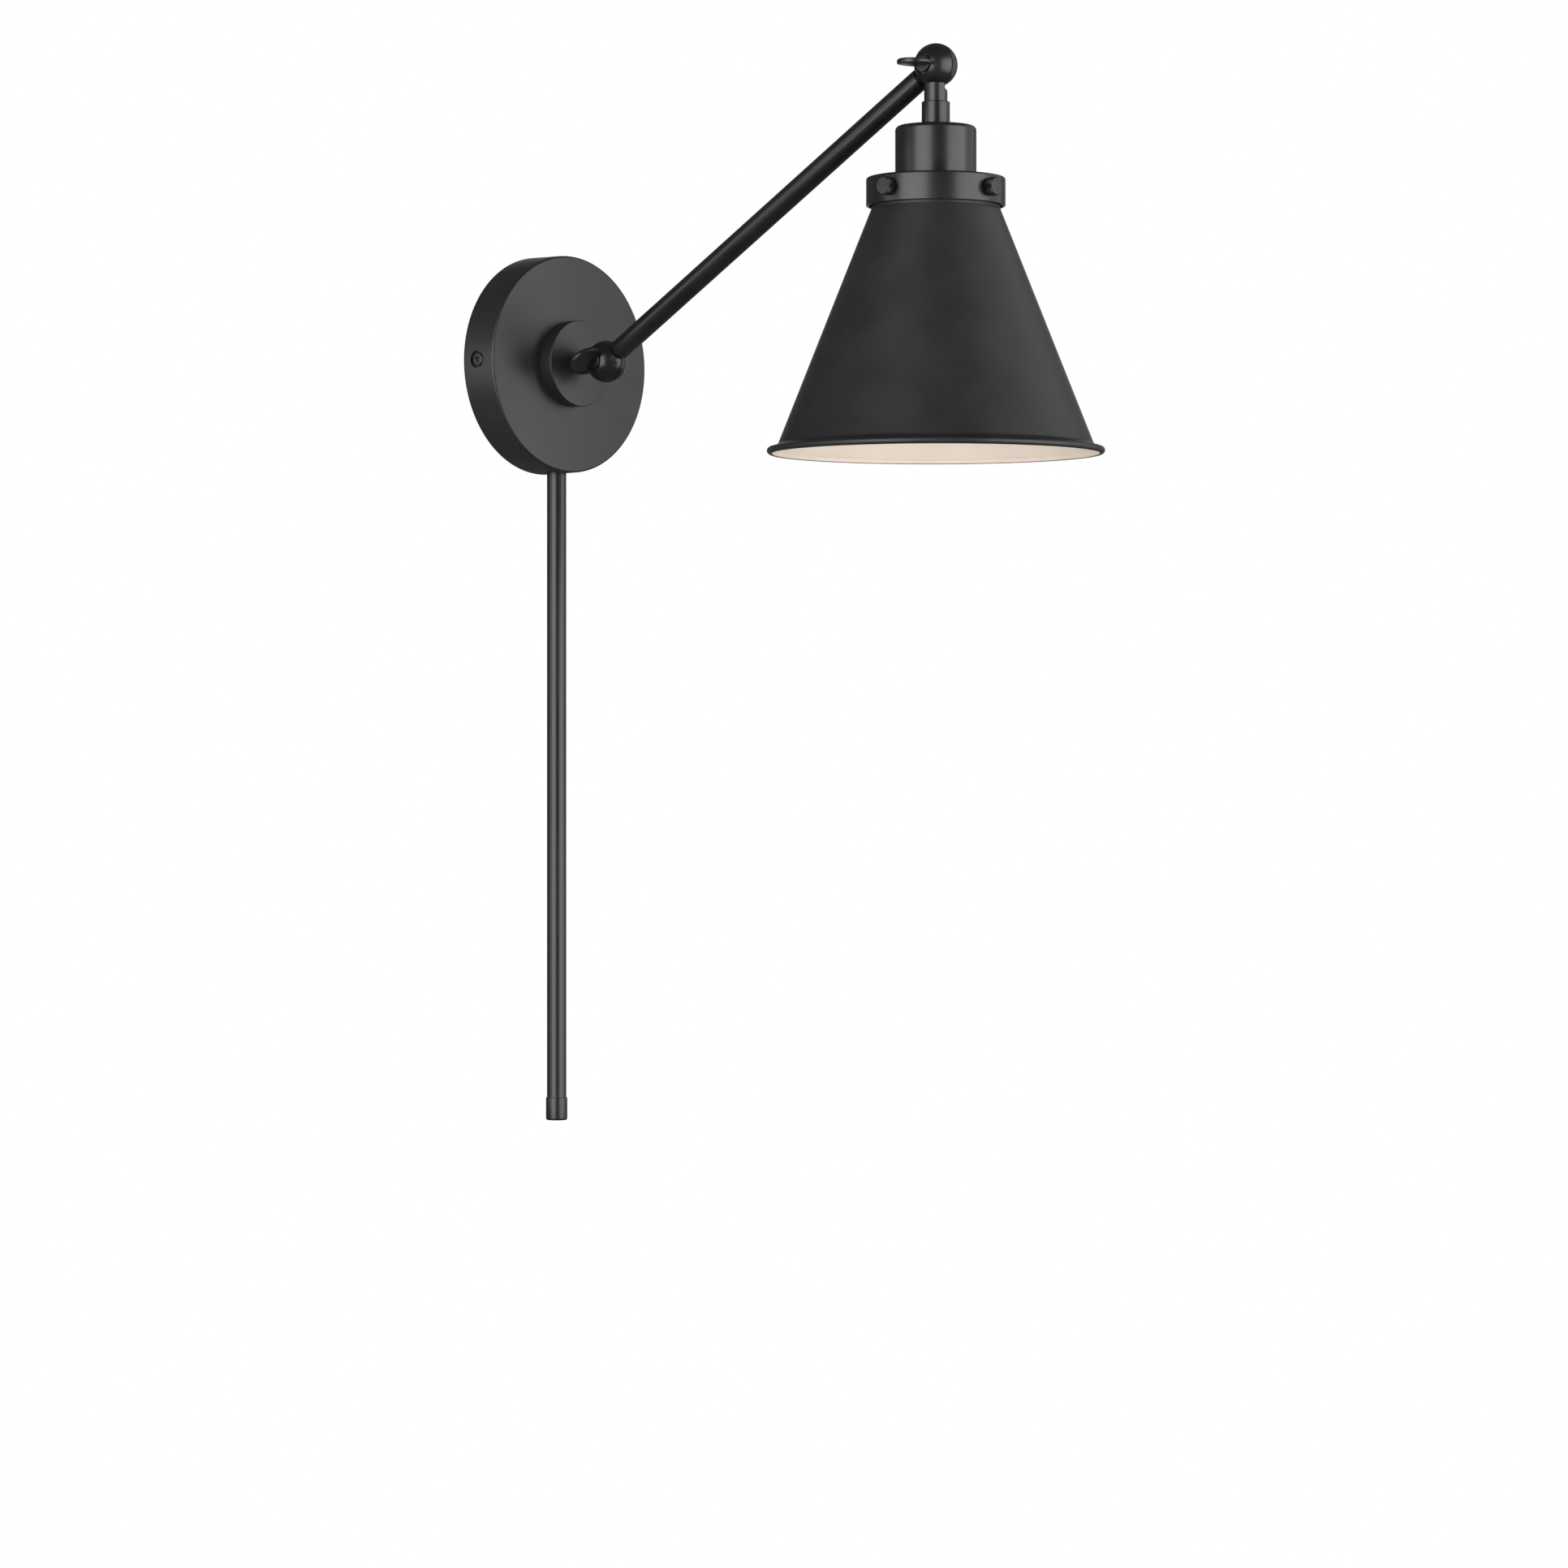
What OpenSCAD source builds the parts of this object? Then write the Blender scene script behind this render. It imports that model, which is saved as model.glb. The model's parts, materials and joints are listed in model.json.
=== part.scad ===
// Swing arm wall sconce with a conical metal shade and a cord cover tube.
// The wall is the plane y = 0 and the lamp stands out from it towards -Y.
// The origin is the centre of the canopy's open back, where the bracket's screw slots are centred.

/* [Canopy] */
// Diameter of the round canopy where it meets the wall
canopy_d = 127; // [115:1:155]
// How far the canopy stands off the wall
canopy_depth = 23.6; // [20:0.2:32]
// Thickness of the canopy's sheet metal
canopy_wall = 1.2; // [0.8:0.1:1.6]
// How much narrower in radius the front face is than the back
canopy_draft = 0.4; // [0:0.1:1]
// Rounding of the canopy's front edge
canopy_edge_r = 1.4; // [0.8:0.1:2]
// Distance of the two side screws from the wall
side_screw_w = 10.4; // [8:0.2:12]
// Diameter of the sunk seat round each side screw
side_seat_d = 10; // [9:0.5:11]

/* [Hub and swivel] */
// Diameter of the hub disc on the canopy's face
hub_d = 50; // [36:1:60]
// Thickness of the hub disc
hub_h = 9; // [6:0.5:12]
// Diameter of the swivel spigot that turns in the hub
spigot_d = 10; // [8.6:0.2:12]
// Turn of the swivel each way before its lobe meets the stop pin, in degrees
swivel_stop = 94; // [60:1:120]

/* [Cord cover tube] */
// Outer diameter of the cord cover tube
rod_d = 11.3; // [10:0.1:14]
// Wall of the cord cover tube
rod_wall = 1; // [0.8:0.1:1.4]
// Distance of the tube's axis from the wall
rod_w = 12.3; // [11:0.1:14]
// Lowest point of the tube's end cap below the canopy's centre
rod_drop = 441.3; // [250:1:600]
// Height of the end cap
end_cap_h = 13.3; // [10:0.1:20]
// How much thicker in radius the end cap is than the tube
end_cap_step = 0.6; // [0.5:0.05:1.5]
// Diameter of the cord hole in the end cap
cord_hole_d = 6.6; // [5:0.1:7.6]

/* [Knuckles] */
// Diameter of the two ball knuckles
ball_d = 24; // [22:0.5:30]
// Gap between the two halves of a ball, filled by a friction washer
split_gap = 0.6; // [0.4:0.1:1]
// Distance from the hub's face to the lower ball's centre
ball_standoff = 20.4; // [18:0.2:28]
// Diameter of the round neck that carries a ball half
neck_d = 12.8; // [11.4:0.1:13.2]
// Diameter of the waist between a ball half and the arm tube
waist_d = 9.6; // [9:0.1:9.8]
// Diameter of the wire way through necks, plugs and spigots
wire_bore_d = 6.4; // [5:0.1:6.6]

/* [Arm] */
// Distance between the centres of the two balls
arm_length = 293; // [200:1:400]
// Tilt of the arm above level as it is shown at rest, in degrees
arm_elevation = 30.5; // [20:0.5:40]
// Outer diameter of the arm tube
arm_d = 12; // [11.4:0.1:13]
// Wall of the arm tube
arm_wall = 1; // [0.8:0.1:1.2]

/* [Thumbscrews] */
// Length of the oval paddle across the screw's axis
paddle_length = 19.4; // [16:0.2:22]
// Reach of the paddle along the screw's axis, before its inner end is cut off at the collar
paddle_reach = 20; // [16:0.5:24]
// Thickness in the middle of the paddle
paddle_t = 3; // [2.4:0.1:4]
// Thickness at the tips of the paddle
paddle_tip_t = 2.1; // [1.2:0.1:2.2]
// Diameter of the thumbscrew's shank
thumb_shank_d = 5; // [4:0.1:5.2]
// Turn of the lower paddle from level at rest, in degrees
lower_paddle_turn = 40; // [0:1:90]

/* [Head] */
// Length of the upper knuckle's neck below the ball's centre
head_neck_l = 20.1; // [18:0.1:30]
// Diameter of the coupling under the neck
coupling_d = 15.5; // [14:0.1:18]
// Length of the coupling
coupling_h = 13.3; // [12:0.1:18]
// Diameter of the socket cup
cup_d = 44.6; // [42:0.2:56]
// Height of the socket cup
cup_h = 28.4; // [26:0.2:40]
// Rounding of the socket cup's top edge
cup_edge_r = 2.6; // [1:0.2:4]
// Sheet thickness of the cup
cup_wall = 1.2; // [0.8:0.1:1.4]
// Inner diameter of the lamp socket's screw shell
socket_bore_d = 26.6; // [26.4:0.1:27]
// Length of the lamp socket below the top of the shade ring
socket_drop = 26; // [22:0.5:32]

/* [Shade ring] */
// Diameter of the shade ring
ring_d = 76.5; // [70:0.5:92]
// Height of the shade ring
ring_h = 15.6; // [12:0.2:22]
// Thickness of the shade ring's wall
ring_wall = 1.5; // [1.2:0.1:2]
// Rounding of the shade ring's edges
ring_edge_r = 1.2; // [0.6:0.1:1.4]
// Diameter of a knurled knob
knob_d = 10; // [8:0.5:12]
// Length of a knurled knob's head
knob_l = 5.4; // [4:0.1:8]

/* [Shade] */
// Diameter of the shade over its rolled rim
shade_d = 185.4; // [165:0.2:225]
// Diameter at the bottom of the cone, above the flare of the rim
cone_bottom_d = 173.4; // [150:0.2:200]
// Diameter of the shade's collar, at the top of the cone
cone_top_d = 70.6; // [66:0.2:84]
// Depth of the rim's lowest point below the shade ring's top
shade_drop = 151.4; // [120:0.2:200]
// Thickness of the shade's sheet metal
shade_wall = 0.8; // [0.6:0.1:1.2]
// Diameter of the rolled bead at the rim
bead_d = 3.8; // [3:0.1:5]

/* [Fits] */
// Radial clearance of a shaft that turns in a hole
run_gap = 0.05; // [0.03:0.01:0.09]
// Clearance between pieces that pass each other
pass_gap = 0.4; // [0.3:0.05:0.6]
// Radial clearance of a thread or a pushed-in plug
thread_gap = 0.02; // [0.01:0.01:0.05]

/* [Hidden] */
$fn = 72;
far = 400;        // longer than any cut needs to be
skin = 1;         // extra length that takes a cut clear of a surface
key = 0.4;        // how far joined shapes reach into each other
small_chamfer = 0.4;
fine_round = 720;

// Canopy and bracket
canopy_r = canopy_d / 2;
canopy_front_r = canopy_r - canopy_draft;
canopy_inner_r = canopy_front_r - canopy_wall;
canopy_back_w = canopy_depth - canopy_wall;      // inner face of the canopy's front
side_seat_depth = 1.8;
side_seat_x = canopy_r - side_seat_depth;         // bottom of the sunk screw seat
side_boss_x = side_seat_x - canopy_wall;          // inner end of the boss behind the seat
side_boss_r = side_seat_d / 2 + 1;
bracket_t = 2;
wall_gap = 0.2;                                   // how far screws stop short of the wall
bracket_width = 22;
bracket_tab_l = side_screw_w + 6;
bracket_tab_width = 16;
box_screw_spacing = 88.9;                         // junction box screw spacing
box_slot_l = 12;
box_slot_w = 5;
bracket_hole_d = 10.4;
screw_r = 2;
screw_head_r = 4;
screw_head_h = 1.3;
screw_head_edge_r = 0.7;
side_screw_l = 5;
recess_l = 4.6;
recess_w = 1;
recess_depth = 0.9;
ground_x = 24;
ground_head_r = 4.2;
ground_head_h = 3;

// Hub and swivel, measured out from the wall
hub_r = hub_d / 2;
hub_front_w = canopy_depth + hub_h;
hub_boss_r = spigot_d / 2 + 3;
hub_boss_l = 4.8;                                 // length of the boss inside the canopy
hub_boss_w = canopy_back_w - hub_boss_l;
hub_nut_h = 3.2;
hub_nut_flat = 2 * hub_boss_r + 8;
washer_t = 1.3;
swivel_washer_r = hub_boss_r + 1;
lobe_r = swivel_washer_r + 2.8;
stop_pin_r = 1.2;
stop_pin_over = 0.5;                              // how far the pin passes the washer
stop_pin_ring = hub_boss_r + 0.5 + stop_pin_r * 1.5;
swivel_washer_w = hub_boss_w - pass_gap - washer_t;
swivel_nut_h = 3.5;
swivel_nut_flat = 15;
spigot_end_w = swivel_washer_w - swivel_nut_h - 0.5;
lobe_half = 180 - swivel_stop - asin(stop_pin_r / stop_pin_ring);
hub_chamfer = 0.5;

// Wire connectors inside the canopy, at angles round its axis
connector_angles = [200, 222, 244];
connector_ring = canopy_inner_r * 0.66;
connector_mouth_w = canopy_back_w - 4;
connector_l = 15;
connector_tip_r = 3.6;
connector_mouth_r = 5.2;
connector_bore_l = 7;

// Cord cover tube
rod_r = rod_d / 2;
rod_top_z = -(canopy_inner_r - 8);
rod_nut_h = 4;
seat_gap = 0.1;                                   // room under the nut
rod_nut_flat = rod_d + 5;
rod_nut_sag = canopy_inner_r - sqrt(pow(canopy_inner_r, 2) - pow(rod_nut_flat / sqrt(3), 2));
end_cap_floor = 3;
end_cap_edge_r = 1.2;
end_cap_r = rod_r + end_cap_step;

// Knuckles
ball_r = ball_d / 2;
half_gap = split_gap / 2;
neck_r = neck_d / 2;
wire_r = wire_bore_d / 2;
thumb_shank_r = thumb_shank_d / 2;
knuckle_boss_r = thumb_shank_r + 1.7;
knuckle_cavity_r = ball_r - 3.8;
knuckle_cavity_depth = 5;
seat_r = 5.6;
seat_x = sqrt(pow(ball_r, 2) - pow(seat_r, 2)) - 0.9;
collar_r = 4.8;
collar_h = 1.9;
shank_end_x = 7.4;
neck_from = ball_r * 0.72;                        // where necks start inside a ball
waist_r = waist_d / 2;
shoulder_r = 2.4;                                 // rounding of a neck under the other half
shoulder_top = ball_r + pass_gap + 0.1;
wire_gap = 0.6;                                   // how far the wire way stops from a screw's boss
washer_outer_r = ball_r - 0.7;
lower_ball_w = hub_front_w + ball_standoff;
lead_r = 0.9;
lead_bend = 1.1;                                  // how much thicker a lead is at a bend
lead_start = 1;                                   // where leads start behind a ball
lead_out = 3.5;                                   // where leads leave the spigot
lead_slack = 1.5;
lead_bends = [0.55, 0.8];                         // where leads bend on their way to a connector
lead_rise = 2;                                    // how far leads pass from the canopy's front
lead_in = 5;                                      // how far leads reach into a connector
lead_side = 1.6;                                  // how far leads lie from a ball's split plane
lead_offset = 1.1;                                // half the distance between two leads
lead_stop = knuckle_boss_r + 1.6;                 // where leads stop short of a ball's centre

// Arm, measured along it from the lower ball's centre
arm_r = arm_d / 2;
arm_bore_r = arm_r - arm_wall;
tube_end_gap = 0.75;
tube_start = sqrt(pow(ball_r + pass_gap, 2) - pow(waist_r, 2)) + tube_end_gap;
plug_l = 11;
upper_ball_w = lower_ball_w + arm_length * cos(arm_elevation);
upper_ball_z = arm_length * sin(arm_elevation);

// Paddle of a thumbscrew
paddle_inset = 4.5;                               // how far the whole oval reaches into the ball
paddle_centre = paddle_reach / 2 + ball_r - paddle_inset;
paddle_steps = 64;
paddle_bulge = (pow(paddle_length / 2, 2) + pow((paddle_t - paddle_tip_t) / 2, 2))
    / (paddle_t - paddle_tip_t);

// Head, measured down from the upper ball's centre
coupling_r = coupling_d / 2;
tail_r = 4.5;
tail_l = 6.4;
nipple_r = 5;
nipple_gap = 0.2;                                 // room above the nipple
nipple_inset = 1;                                 // how far the nipple stops inside the socket
nipple_top = head_neck_l + tail_l + 0.3;
cup_top = head_neck_l + coupling_h;
cup_r = cup_d / 2;
ring_top = cup_top + cup_h;
nipple_nut_h = 4;
nipple_nut_flat = 14;
socket_r = socket_bore_d / 2 + 5.7;
socket_top = cup_top + 9.6;
socket_bottom = ring_top + socket_drop;
socket_head_h = 7;
socket_cavity_h = 7;
socket_deck_h = 3;
socket_step = 2;                                  // how much narrower the cavity above the shell is
socket_shell_t = 0.6;
socket_floor = socket_top + socket_head_h + socket_cavity_h + socket_deck_h;
contact_r = 4;
contact_h = 2.5;
contact_key = 0.5;                                // how far the contact's stem reaches into its head
shell_top = socket_floor + contact_h + 0.5;
shell_bottom = socket_bottom - 2;
socket_nut_r = socket_r + 6;
socket_nut_h = 4;
socket_nut_chamfer = 0.5;

// Shade ring and its knobs
ring_r = ring_d / 2;
ring_inner_r = ring_r - ring_wall;
ring_top_t = 1.5;
ring_bottom = ring_top + ring_h;
knob_r = knob_d / 2;
knob_z = ring_top + ring_h / 2 - 0.1;
knob_gap = 0.3;                                   // room behind a knob and before its screw's end
knob_back = ring_r + knob_gap;
knob_chamfer = 0.5;
knob_count = 4;
knob_step = 360 / knob_count;

// Shade
bead_r = bead_d / 2;
collar_outer_r = cone_top_d / 2;
collar_gap = 1.2;                                 // how far the collar shows under the ring
cone_top = ring_bottom + collar_gap;
bead_centre_r = shade_d / 2 - bead_r;
bead_centre = ring_top + shade_drop - bead_r;
flare_h = 1.4;                                    // height between the cone and the bead
cone_bottom = bead_centre - bead_r - flare_h;
cone_bottom_r = cone_bottom_d / 2;
bend_h = 1;                                       // height of the bend from cone to flare
bend_out = [0.9, 0.4];                            // outer and inner reach of that bend
flare_in = 1.2;                                   // where the flare levels out before the bead
flare_rise = 0.5;
shade_flange_in_r = socket_nut_r + 2;

black = [0.09, 0.09, 0.095];
steel = [0.62, 0.63, 0.65];
brass = [0.78, 0.62, 0.3];

// Moves a piece drawn along +Z so that it stands out from the wall along -Y
module from_wall() {
    rotate([90, 0, 0]) children();
}

// Puts a piece at the lower ball's centre
module at_lower_ball() {
    translate([0, -lower_ball_w, 0]) children();
}

// Puts a piece drawn along +Z on the arm's axis, from the lower ball towards the upper one
module along_arm() {
    at_lower_ball() rotate([90 - arm_elevation, 0, 0]) children();
}

// Puts a piece at the upper ball's centre
module at_upper_ball() {
    translate([0, -upper_ball_w, upper_ball_z]) children();
}

// Puts a piece drawn with +Z as depth below the upper ball
module down_head() {
    at_upper_ball() mirror([0, 0, 1]) children();
}

// A tube or a solid post between two heights
module pipe(r, bore, from, to) {
    translate([0, 0, from]) difference() {
        cylinder(r = r, h = to - from);
        if (bore > 0) translate([0, 0, -skin]) cylinder(r = bore, h = to - from + 2 * skin);
    }
}

// A tube with both outer ends chamfered
module chamfered_pipe(r, bore, from, to, chamfer) {
    rotate_extrude() polygon([
        [bore, from], [r - chamfer, from], [r, from + chamfer],
        [r, to - chamfer], [r - chamfer, to], [bore, to]
    ]);
}

// A hexagonal nut with a round hole
module hex_nut(flat, bore, from, to) {
    translate([0, 0, from]) difference() {
        cylinder(r = flat / sqrt(3), h = to - from, $fn = 6);
        translate([0, 0, -skin]) cylinder(r = bore, h = to - from + 2 * skin);
    }
}

// A quarter of a disc, which rounds the corner of a turned profile
module quarter_disc(r) {
    intersection() {
        circle(r);
        square(r);
    }
}

// A turned block from height 0, its top edge rounded
module rounded_block(r, h, edge) {
    rotate_extrude() {
        square([r, h - edge]);
        translate([0, h - edge]) square([r - edge, edge]);
        translate([r - edge, h - edge]) quarter_disc(edge);
    }
}

// A cross cut for a screwdriver, centred on the origin and sunk along -Z
module cross_recess(depth) {
    for (a = [0, 90]) rotate(a)
        translate([-recess_l / 2, -recess_w / 2, -depth]) cube([recess_l, recess_w, depth + skin]);
}

// Half space on one side of a ball's split plane; side is -1 for the screw's side and 1 for the other
module half_space(side, gap) {
    translate([side > 0 ? gap : -far - gap, -far / 2, -far / 2]) cube([far, far, far]);
}

// Half of a hollow ball knuckle, whose hinge axis is X
module ball_half(side) {
    difference() {
        intersection() {
            rotate(side > 0 ? 180 : 0) sphere(ball_r);
            half_space(side, half_gap);
        }
        rotate([0, side * 90, 0]) {
            pipe(knuckle_cavity_r, knuckle_boss_r, 0, knuckle_cavity_depth);
            translate([0, 0, -skin])
                cylinder(r = thumb_shank_r + run_gap, h = side > 0 ? shank_end_x + wire_gap + skin : far);
            if (side < 0) translate([0, 0, seat_x]) cylinder(r = seat_r, h = far);
        }
    }
}

// The space that the other half of a ball sweeps, with clearance
module other_half_sweep(side) {
    intersection() {
        sphere(ball_r + pass_gap);
        half_space(-side, -half_gap);
    }
}

// A round neck under the other half of its ball, with a rounded shoulder on that half's side
module neck(neck_l) {
    intersection() {
        pipe(neck_r, 0, neck_from, neck_l);
        half_space(-1, -half_gap);
    }
    intersection() {
        translate([0, 0, neck_l]) mirror([0, 0, 1]) rounded_block(neck_r, neck_l - shoulder_top, shoulder_r);
        half_space(1, half_gap);
    }
}

// The half ball on the thumbscrew's side with its round neck along +Z and a thinner tail behind it
module necked_half(neck_l, tail_end, tail_radius) {
    difference() {
        union() {
            ball_half(-1);
            difference() {
                neck(neck_l);
                other_half_sweep(-1);
            }
            translate([0, 0, neck_l - skin]) cylinder(r = tail_radius, h = tail_end - neck_l + skin);
        }
        pipe(wire_r, 0, knuckle_boss_r + wire_gap, tail_end + skin);
    }
}

// The half ball away from the thumbscrew with its waist and the plug that fills the tube's end, along +Z
module plugged_half() {
    difference() {
        union() {
            ball_half(1);
            difference() {
                pipe(waist_r, 0, neck_from, tube_start + key);
                other_half_sweep(1);
            }
            pipe(arm_bore_r - thread_gap, 0, tube_start, tube_start + plug_l);
        }
        pipe(wire_r, 0, knuckle_boss_r + wire_gap, tube_start + plug_l + skin);
    }
}

// Ring of fibre between the two halves of a ball
module friction_washer() {
    color("dimgray") rotate([0, 90, 0])
        pipe(washer_outer_r, knuckle_cavity_r, -half_gap + run_gap, half_gap);
}

// Outline of the oval paddle, seen flat
function oval(reach, length, steps) =
    [for (i = [0 : steps - 1]) [reach / 2 * cos(360 * i / steps), length / 2 * sin(360 * i / steps)]];

// A thumbscrew whose axis is X and whose paddle lies level on the -X side
module thumbscrew() {
    bulge_z = paddle_bulge - paddle_t / 2;
    color(black) {
        rotate([0, -90, 0]) {
            pipe(thumb_shank_r, 0, -shank_end_x, seat_x + skin);
            chamfered_pipe(collar_r, 0, seat_x + run_gap, seat_x + collar_h, small_chamfer);
        }
        intersection() {
            translate([-paddle_centre, 0, -paddle_t])
                linear_extrude(2 * paddle_t) polygon(oval(paddle_reach, paddle_length, paddle_steps));
            half_space(-1, seat_x + collar_h - key);
            translate([0, 0, bulge_z]) rotate([0, 90, 0])
                cylinder(r = paddle_bulge, h = far, center = true, $fn = fine_round);
            translate([0, 0, -bulge_z]) rotate([0, 90, 0])
                cylinder(r = paddle_bulge, h = far, center = true, $fn = fine_round);
        }
    }
}

// Places a piece on the canopy's side screw axis, drawn with +Z pointing out of the canopy
module at_side_screw(side) {
    translate([0, -side_screw_w, 0]) rotate([0, side * 90, 0]) children();
}

module canopy() {
    color(black) difference() {
        union() {
            from_wall() rotate_extrude() difference() {
                union() {
                    polygon([
                        [0, 0], [canopy_r, 0], [canopy_front_r, canopy_depth - canopy_edge_r],
                        [canopy_front_r - canopy_edge_r, canopy_depth - canopy_edge_r],
                        [canopy_front_r - canopy_edge_r, canopy_depth], [0, canopy_depth]
                    ]);
                    translate([canopy_front_r - canopy_edge_r, canopy_depth - canopy_edge_r])
                        quarter_disc(canopy_edge_r);
                }
                polygon([
                    [-skin, -skin], [canopy_r - canopy_wall, -skin], [canopy_inner_r, canopy_back_w],
                    [-skin, canopy_back_w]
                ]);
            }
            for (side = [-1, 1]) at_side_screw(side)
                pipe(side_boss_r, 0, side_boss_x, side_seat_x + key);
        }
        for (side = [-1, 1]) at_side_screw(side) {
            pipe(side_seat_d / 2, 0, side_seat_x, far);
            pipe(screw_r + pass_gap, 0, side_boss_x - skin, far);
        }
        from_wall() pipe(hub_boss_r + pass_gap / 2, 0, canopy_back_w - skin, canopy_depth + skin);
        translate([0, -rod_w, -far]) cylinder(r = rod_r + run_gap, h = far);
    }
}

module mounting_bracket() {
    color(steel) difference() {
        union() {
            translate([-side_boss_x, -bracket_t, -bracket_width / 2])
                cube([2 * side_boss_x, bracket_t, bracket_width]);
            for (side = [-1, 1])
                translate([side > 0 ? side_boss_x - bracket_t : -side_boss_x, -bracket_tab_l,
                    -bracket_tab_width / 2]) cube([bracket_t, bracket_tab_l, bracket_tab_width]);
        }
        for (side = [-1, 1]) {
            at_side_screw(side) pipe(screw_r + thread_gap, 0, side_boss_x - 2 * bracket_t, far);
            translate([side * box_screw_spacing / 2, 0, 0]) screw_slot();
        }
        from_wall() pipe(bracket_hole_d / 2, 0, -skin, bracket_t + skin);
        translate([ground_x, 0, 0]) from_wall() pipe(screw_r + thread_gap, 0, -skin, bracket_t + skin);
    }
}

// Slot through the bracket for a junction box screw, long along X
module screw_slot() {
    offset_x = (box_slot_l - box_slot_w) / 2;
    from_wall() {
        for (side = [-1, 1]) translate([side * offset_x, 0, 0])
            pipe(box_slot_w / 2, 0, -skin, bracket_t + skin);
        translate([-offset_x, -box_slot_w / 2, -skin])
            cube([2 * offset_x, box_slot_w, bracket_t + 2 * skin]);
    }
}

module canopy_screws() {
    color(black) for (side = [-1, 1]) at_side_screw(side) difference() {
        union() {
            pipe(screw_r, 0, side_boss_x - side_screw_l, side_seat_x + key);
            translate([0, 0, side_seat_x]) rounded_block(screw_head_r, screw_head_h, screw_head_edge_r);
        }
        translate([0, 0, side_seat_x + screw_head_h]) cross_recess(recess_depth);
    }
}

module ground_screw() {
    color("green") translate([ground_x, 0, 0]) from_wall() difference() {
        union() {
            pipe(screw_r, 0, wall_gap, bracket_t + key);
            translate([0, 0, bracket_t]) cylinder(r = ground_head_r, h = ground_head_h, $fn = 6);
        }
        translate([0, 0, bracket_t + ground_head_h]) cross_recess(recess_depth);
    }
}

module hub_disc() {
    color(black) from_wall() difference() {
        union() {
            chamfered_pipe(hub_r, 0, canopy_depth, hub_front_w, hub_chamfer);
            pipe(hub_boss_r, 0, hub_boss_w, canopy_depth + skin);
        }
        pipe(spigot_d / 2 + run_gap, 0, hub_boss_w - skin, hub_front_w + skin);
    }
}

module hub_lock_nut() {
    color(steel) from_wall() difference() {
        hex_nut(hub_nut_flat, hub_boss_r + thread_gap, canopy_back_w - hub_nut_h, canopy_back_w);
        translate([0, -stop_pin_ring, 0])
            pipe(stop_pin_r + thread_gap, 0, canopy_back_w - hub_nut_h - skin, canopy_back_w + skin);
    }
}

module swivel_stop_pin() {
    color(steel) from_wall() translate([0, -stop_pin_ring, 0])
        pipe(stop_pin_r, 0, swivel_washer_w - stop_pin_over, canopy_back_w);
}

module cord_cover_tube() {
    color(black) translate([0, -rod_w, 0])
        pipe(rod_r, rod_r - rod_wall, end_cap_floor - rod_drop, rod_top_z);
}

module tube_lock_nut() {
    nut_bottom = -canopy_inner_r + rod_nut_sag + seat_gap;
    color(steel) translate([0, -rod_w, 0])
        hex_nut(rod_nut_flat, rod_r + thread_gap, nut_bottom, nut_bottom + rod_nut_h);
}

module tube_end_cap() {
    color(black) translate([0, -rod_w, end_cap_h - rod_drop]) mirror([0, 0, 1]) difference() {
        rounded_block(end_cap_r, end_cap_h, end_cap_edge_r);
        pipe(rod_r + thread_gap, 0, -skin, end_cap_h - end_cap_floor);
        pipe(cord_hole_d / 2, 0, 0, end_cap_h + skin);
    }
}

module wire_connectors() {
    color("gold") for (a = connector_angles)
        from_wall() rotate(a) translate([connector_ring, 0, connector_mouth_w - connector_l])
            difference() {
                cylinder(r1 = connector_tip_r, r2 = connector_mouth_r, h = connector_l);
                translate([0, 0, connector_l - connector_bore_l]) cylinder(r = connector_tip_r, h = far);
            }
}

// A round lead through a list of points
module lead(points, r) {
    for (i = [0 : len(points) - 2]) {
        step = points[i + 1] - points[i];
        length = norm(step);
        translate(points[i])
            rotate([0, acos(step[2] / length), atan2(step[1], step[0])]) cylinder(r = r, h = length);
        if (i > 0) translate(points[i]) sphere(r * lead_bend);
    }
}

// Two leads run from the spigot's bore to two of the connectors, clear of what swivels
module canopy_leads() {
    inner_w = spigot_end_w - lead_out;
    front_w = canopy_back_w - lead_rise;
    for (i = [0, 1]) {
        side = i == 0 ? -1 : 1;
        a = i == 0 ? connector_angles[0] : connector_angles[2];
        end = [connector_ring * cos(a), connector_ring * sin(a)];
        color(i == 0 ? "white" : "black") from_wall() lead([
            [side * lead_offset, 0, lower_ball_w - ball_r - lead_start], [side * lead_offset, 0, inner_w],
            concat(end * lead_bends[0], inner_w - lead_slack), concat(end * lead_bends[1], front_w),
            concat(end, front_w), concat(end, connector_mouth_w - lead_in)
        ], lead_r);
    }
}

module wall_knuckle() {
    color(black) at_lower_ball() rotate([-90, 0, 0])
        necked_half(ball_standoff - run_gap, lower_ball_w - spigot_end_w, spigot_d / 2);
}

// Washer with a lobe that meets the stop pin at either end of the swivel's turn
module swivel_washer() {
    reach = lobe_r + skin;
    color(steel) from_wall() difference() {
        union() {
            pipe(swivel_washer_r, 0, swivel_washer_w, swivel_washer_w + washer_t);
            difference() {
                pipe(lobe_r, 0, swivel_washer_w, swivel_washer_w + washer_t);
                translate([0, 0, swivel_washer_w - skin]) linear_extrude(washer_t + 2 * skin) polygon([
                    [0, 0], 2 * reach * [sin(lobe_half), cos(lobe_half)], [2 * reach, -2 * reach],
                    [-2 * reach, -2 * reach], 2 * reach * [-sin(lobe_half), cos(lobe_half)]
                ]);
            }
        }
        pipe(spigot_d / 2 + thread_gap, 0, swivel_washer_w - skin, swivel_washer_w + washer_t + skin);
    }
}

module swivel_nut() {
    color(steel) from_wall()
        hex_nut(swivel_nut_flat, spigot_d / 2 + thread_gap, swivel_washer_w - swivel_nut_h, swivel_washer_w);
}

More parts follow.
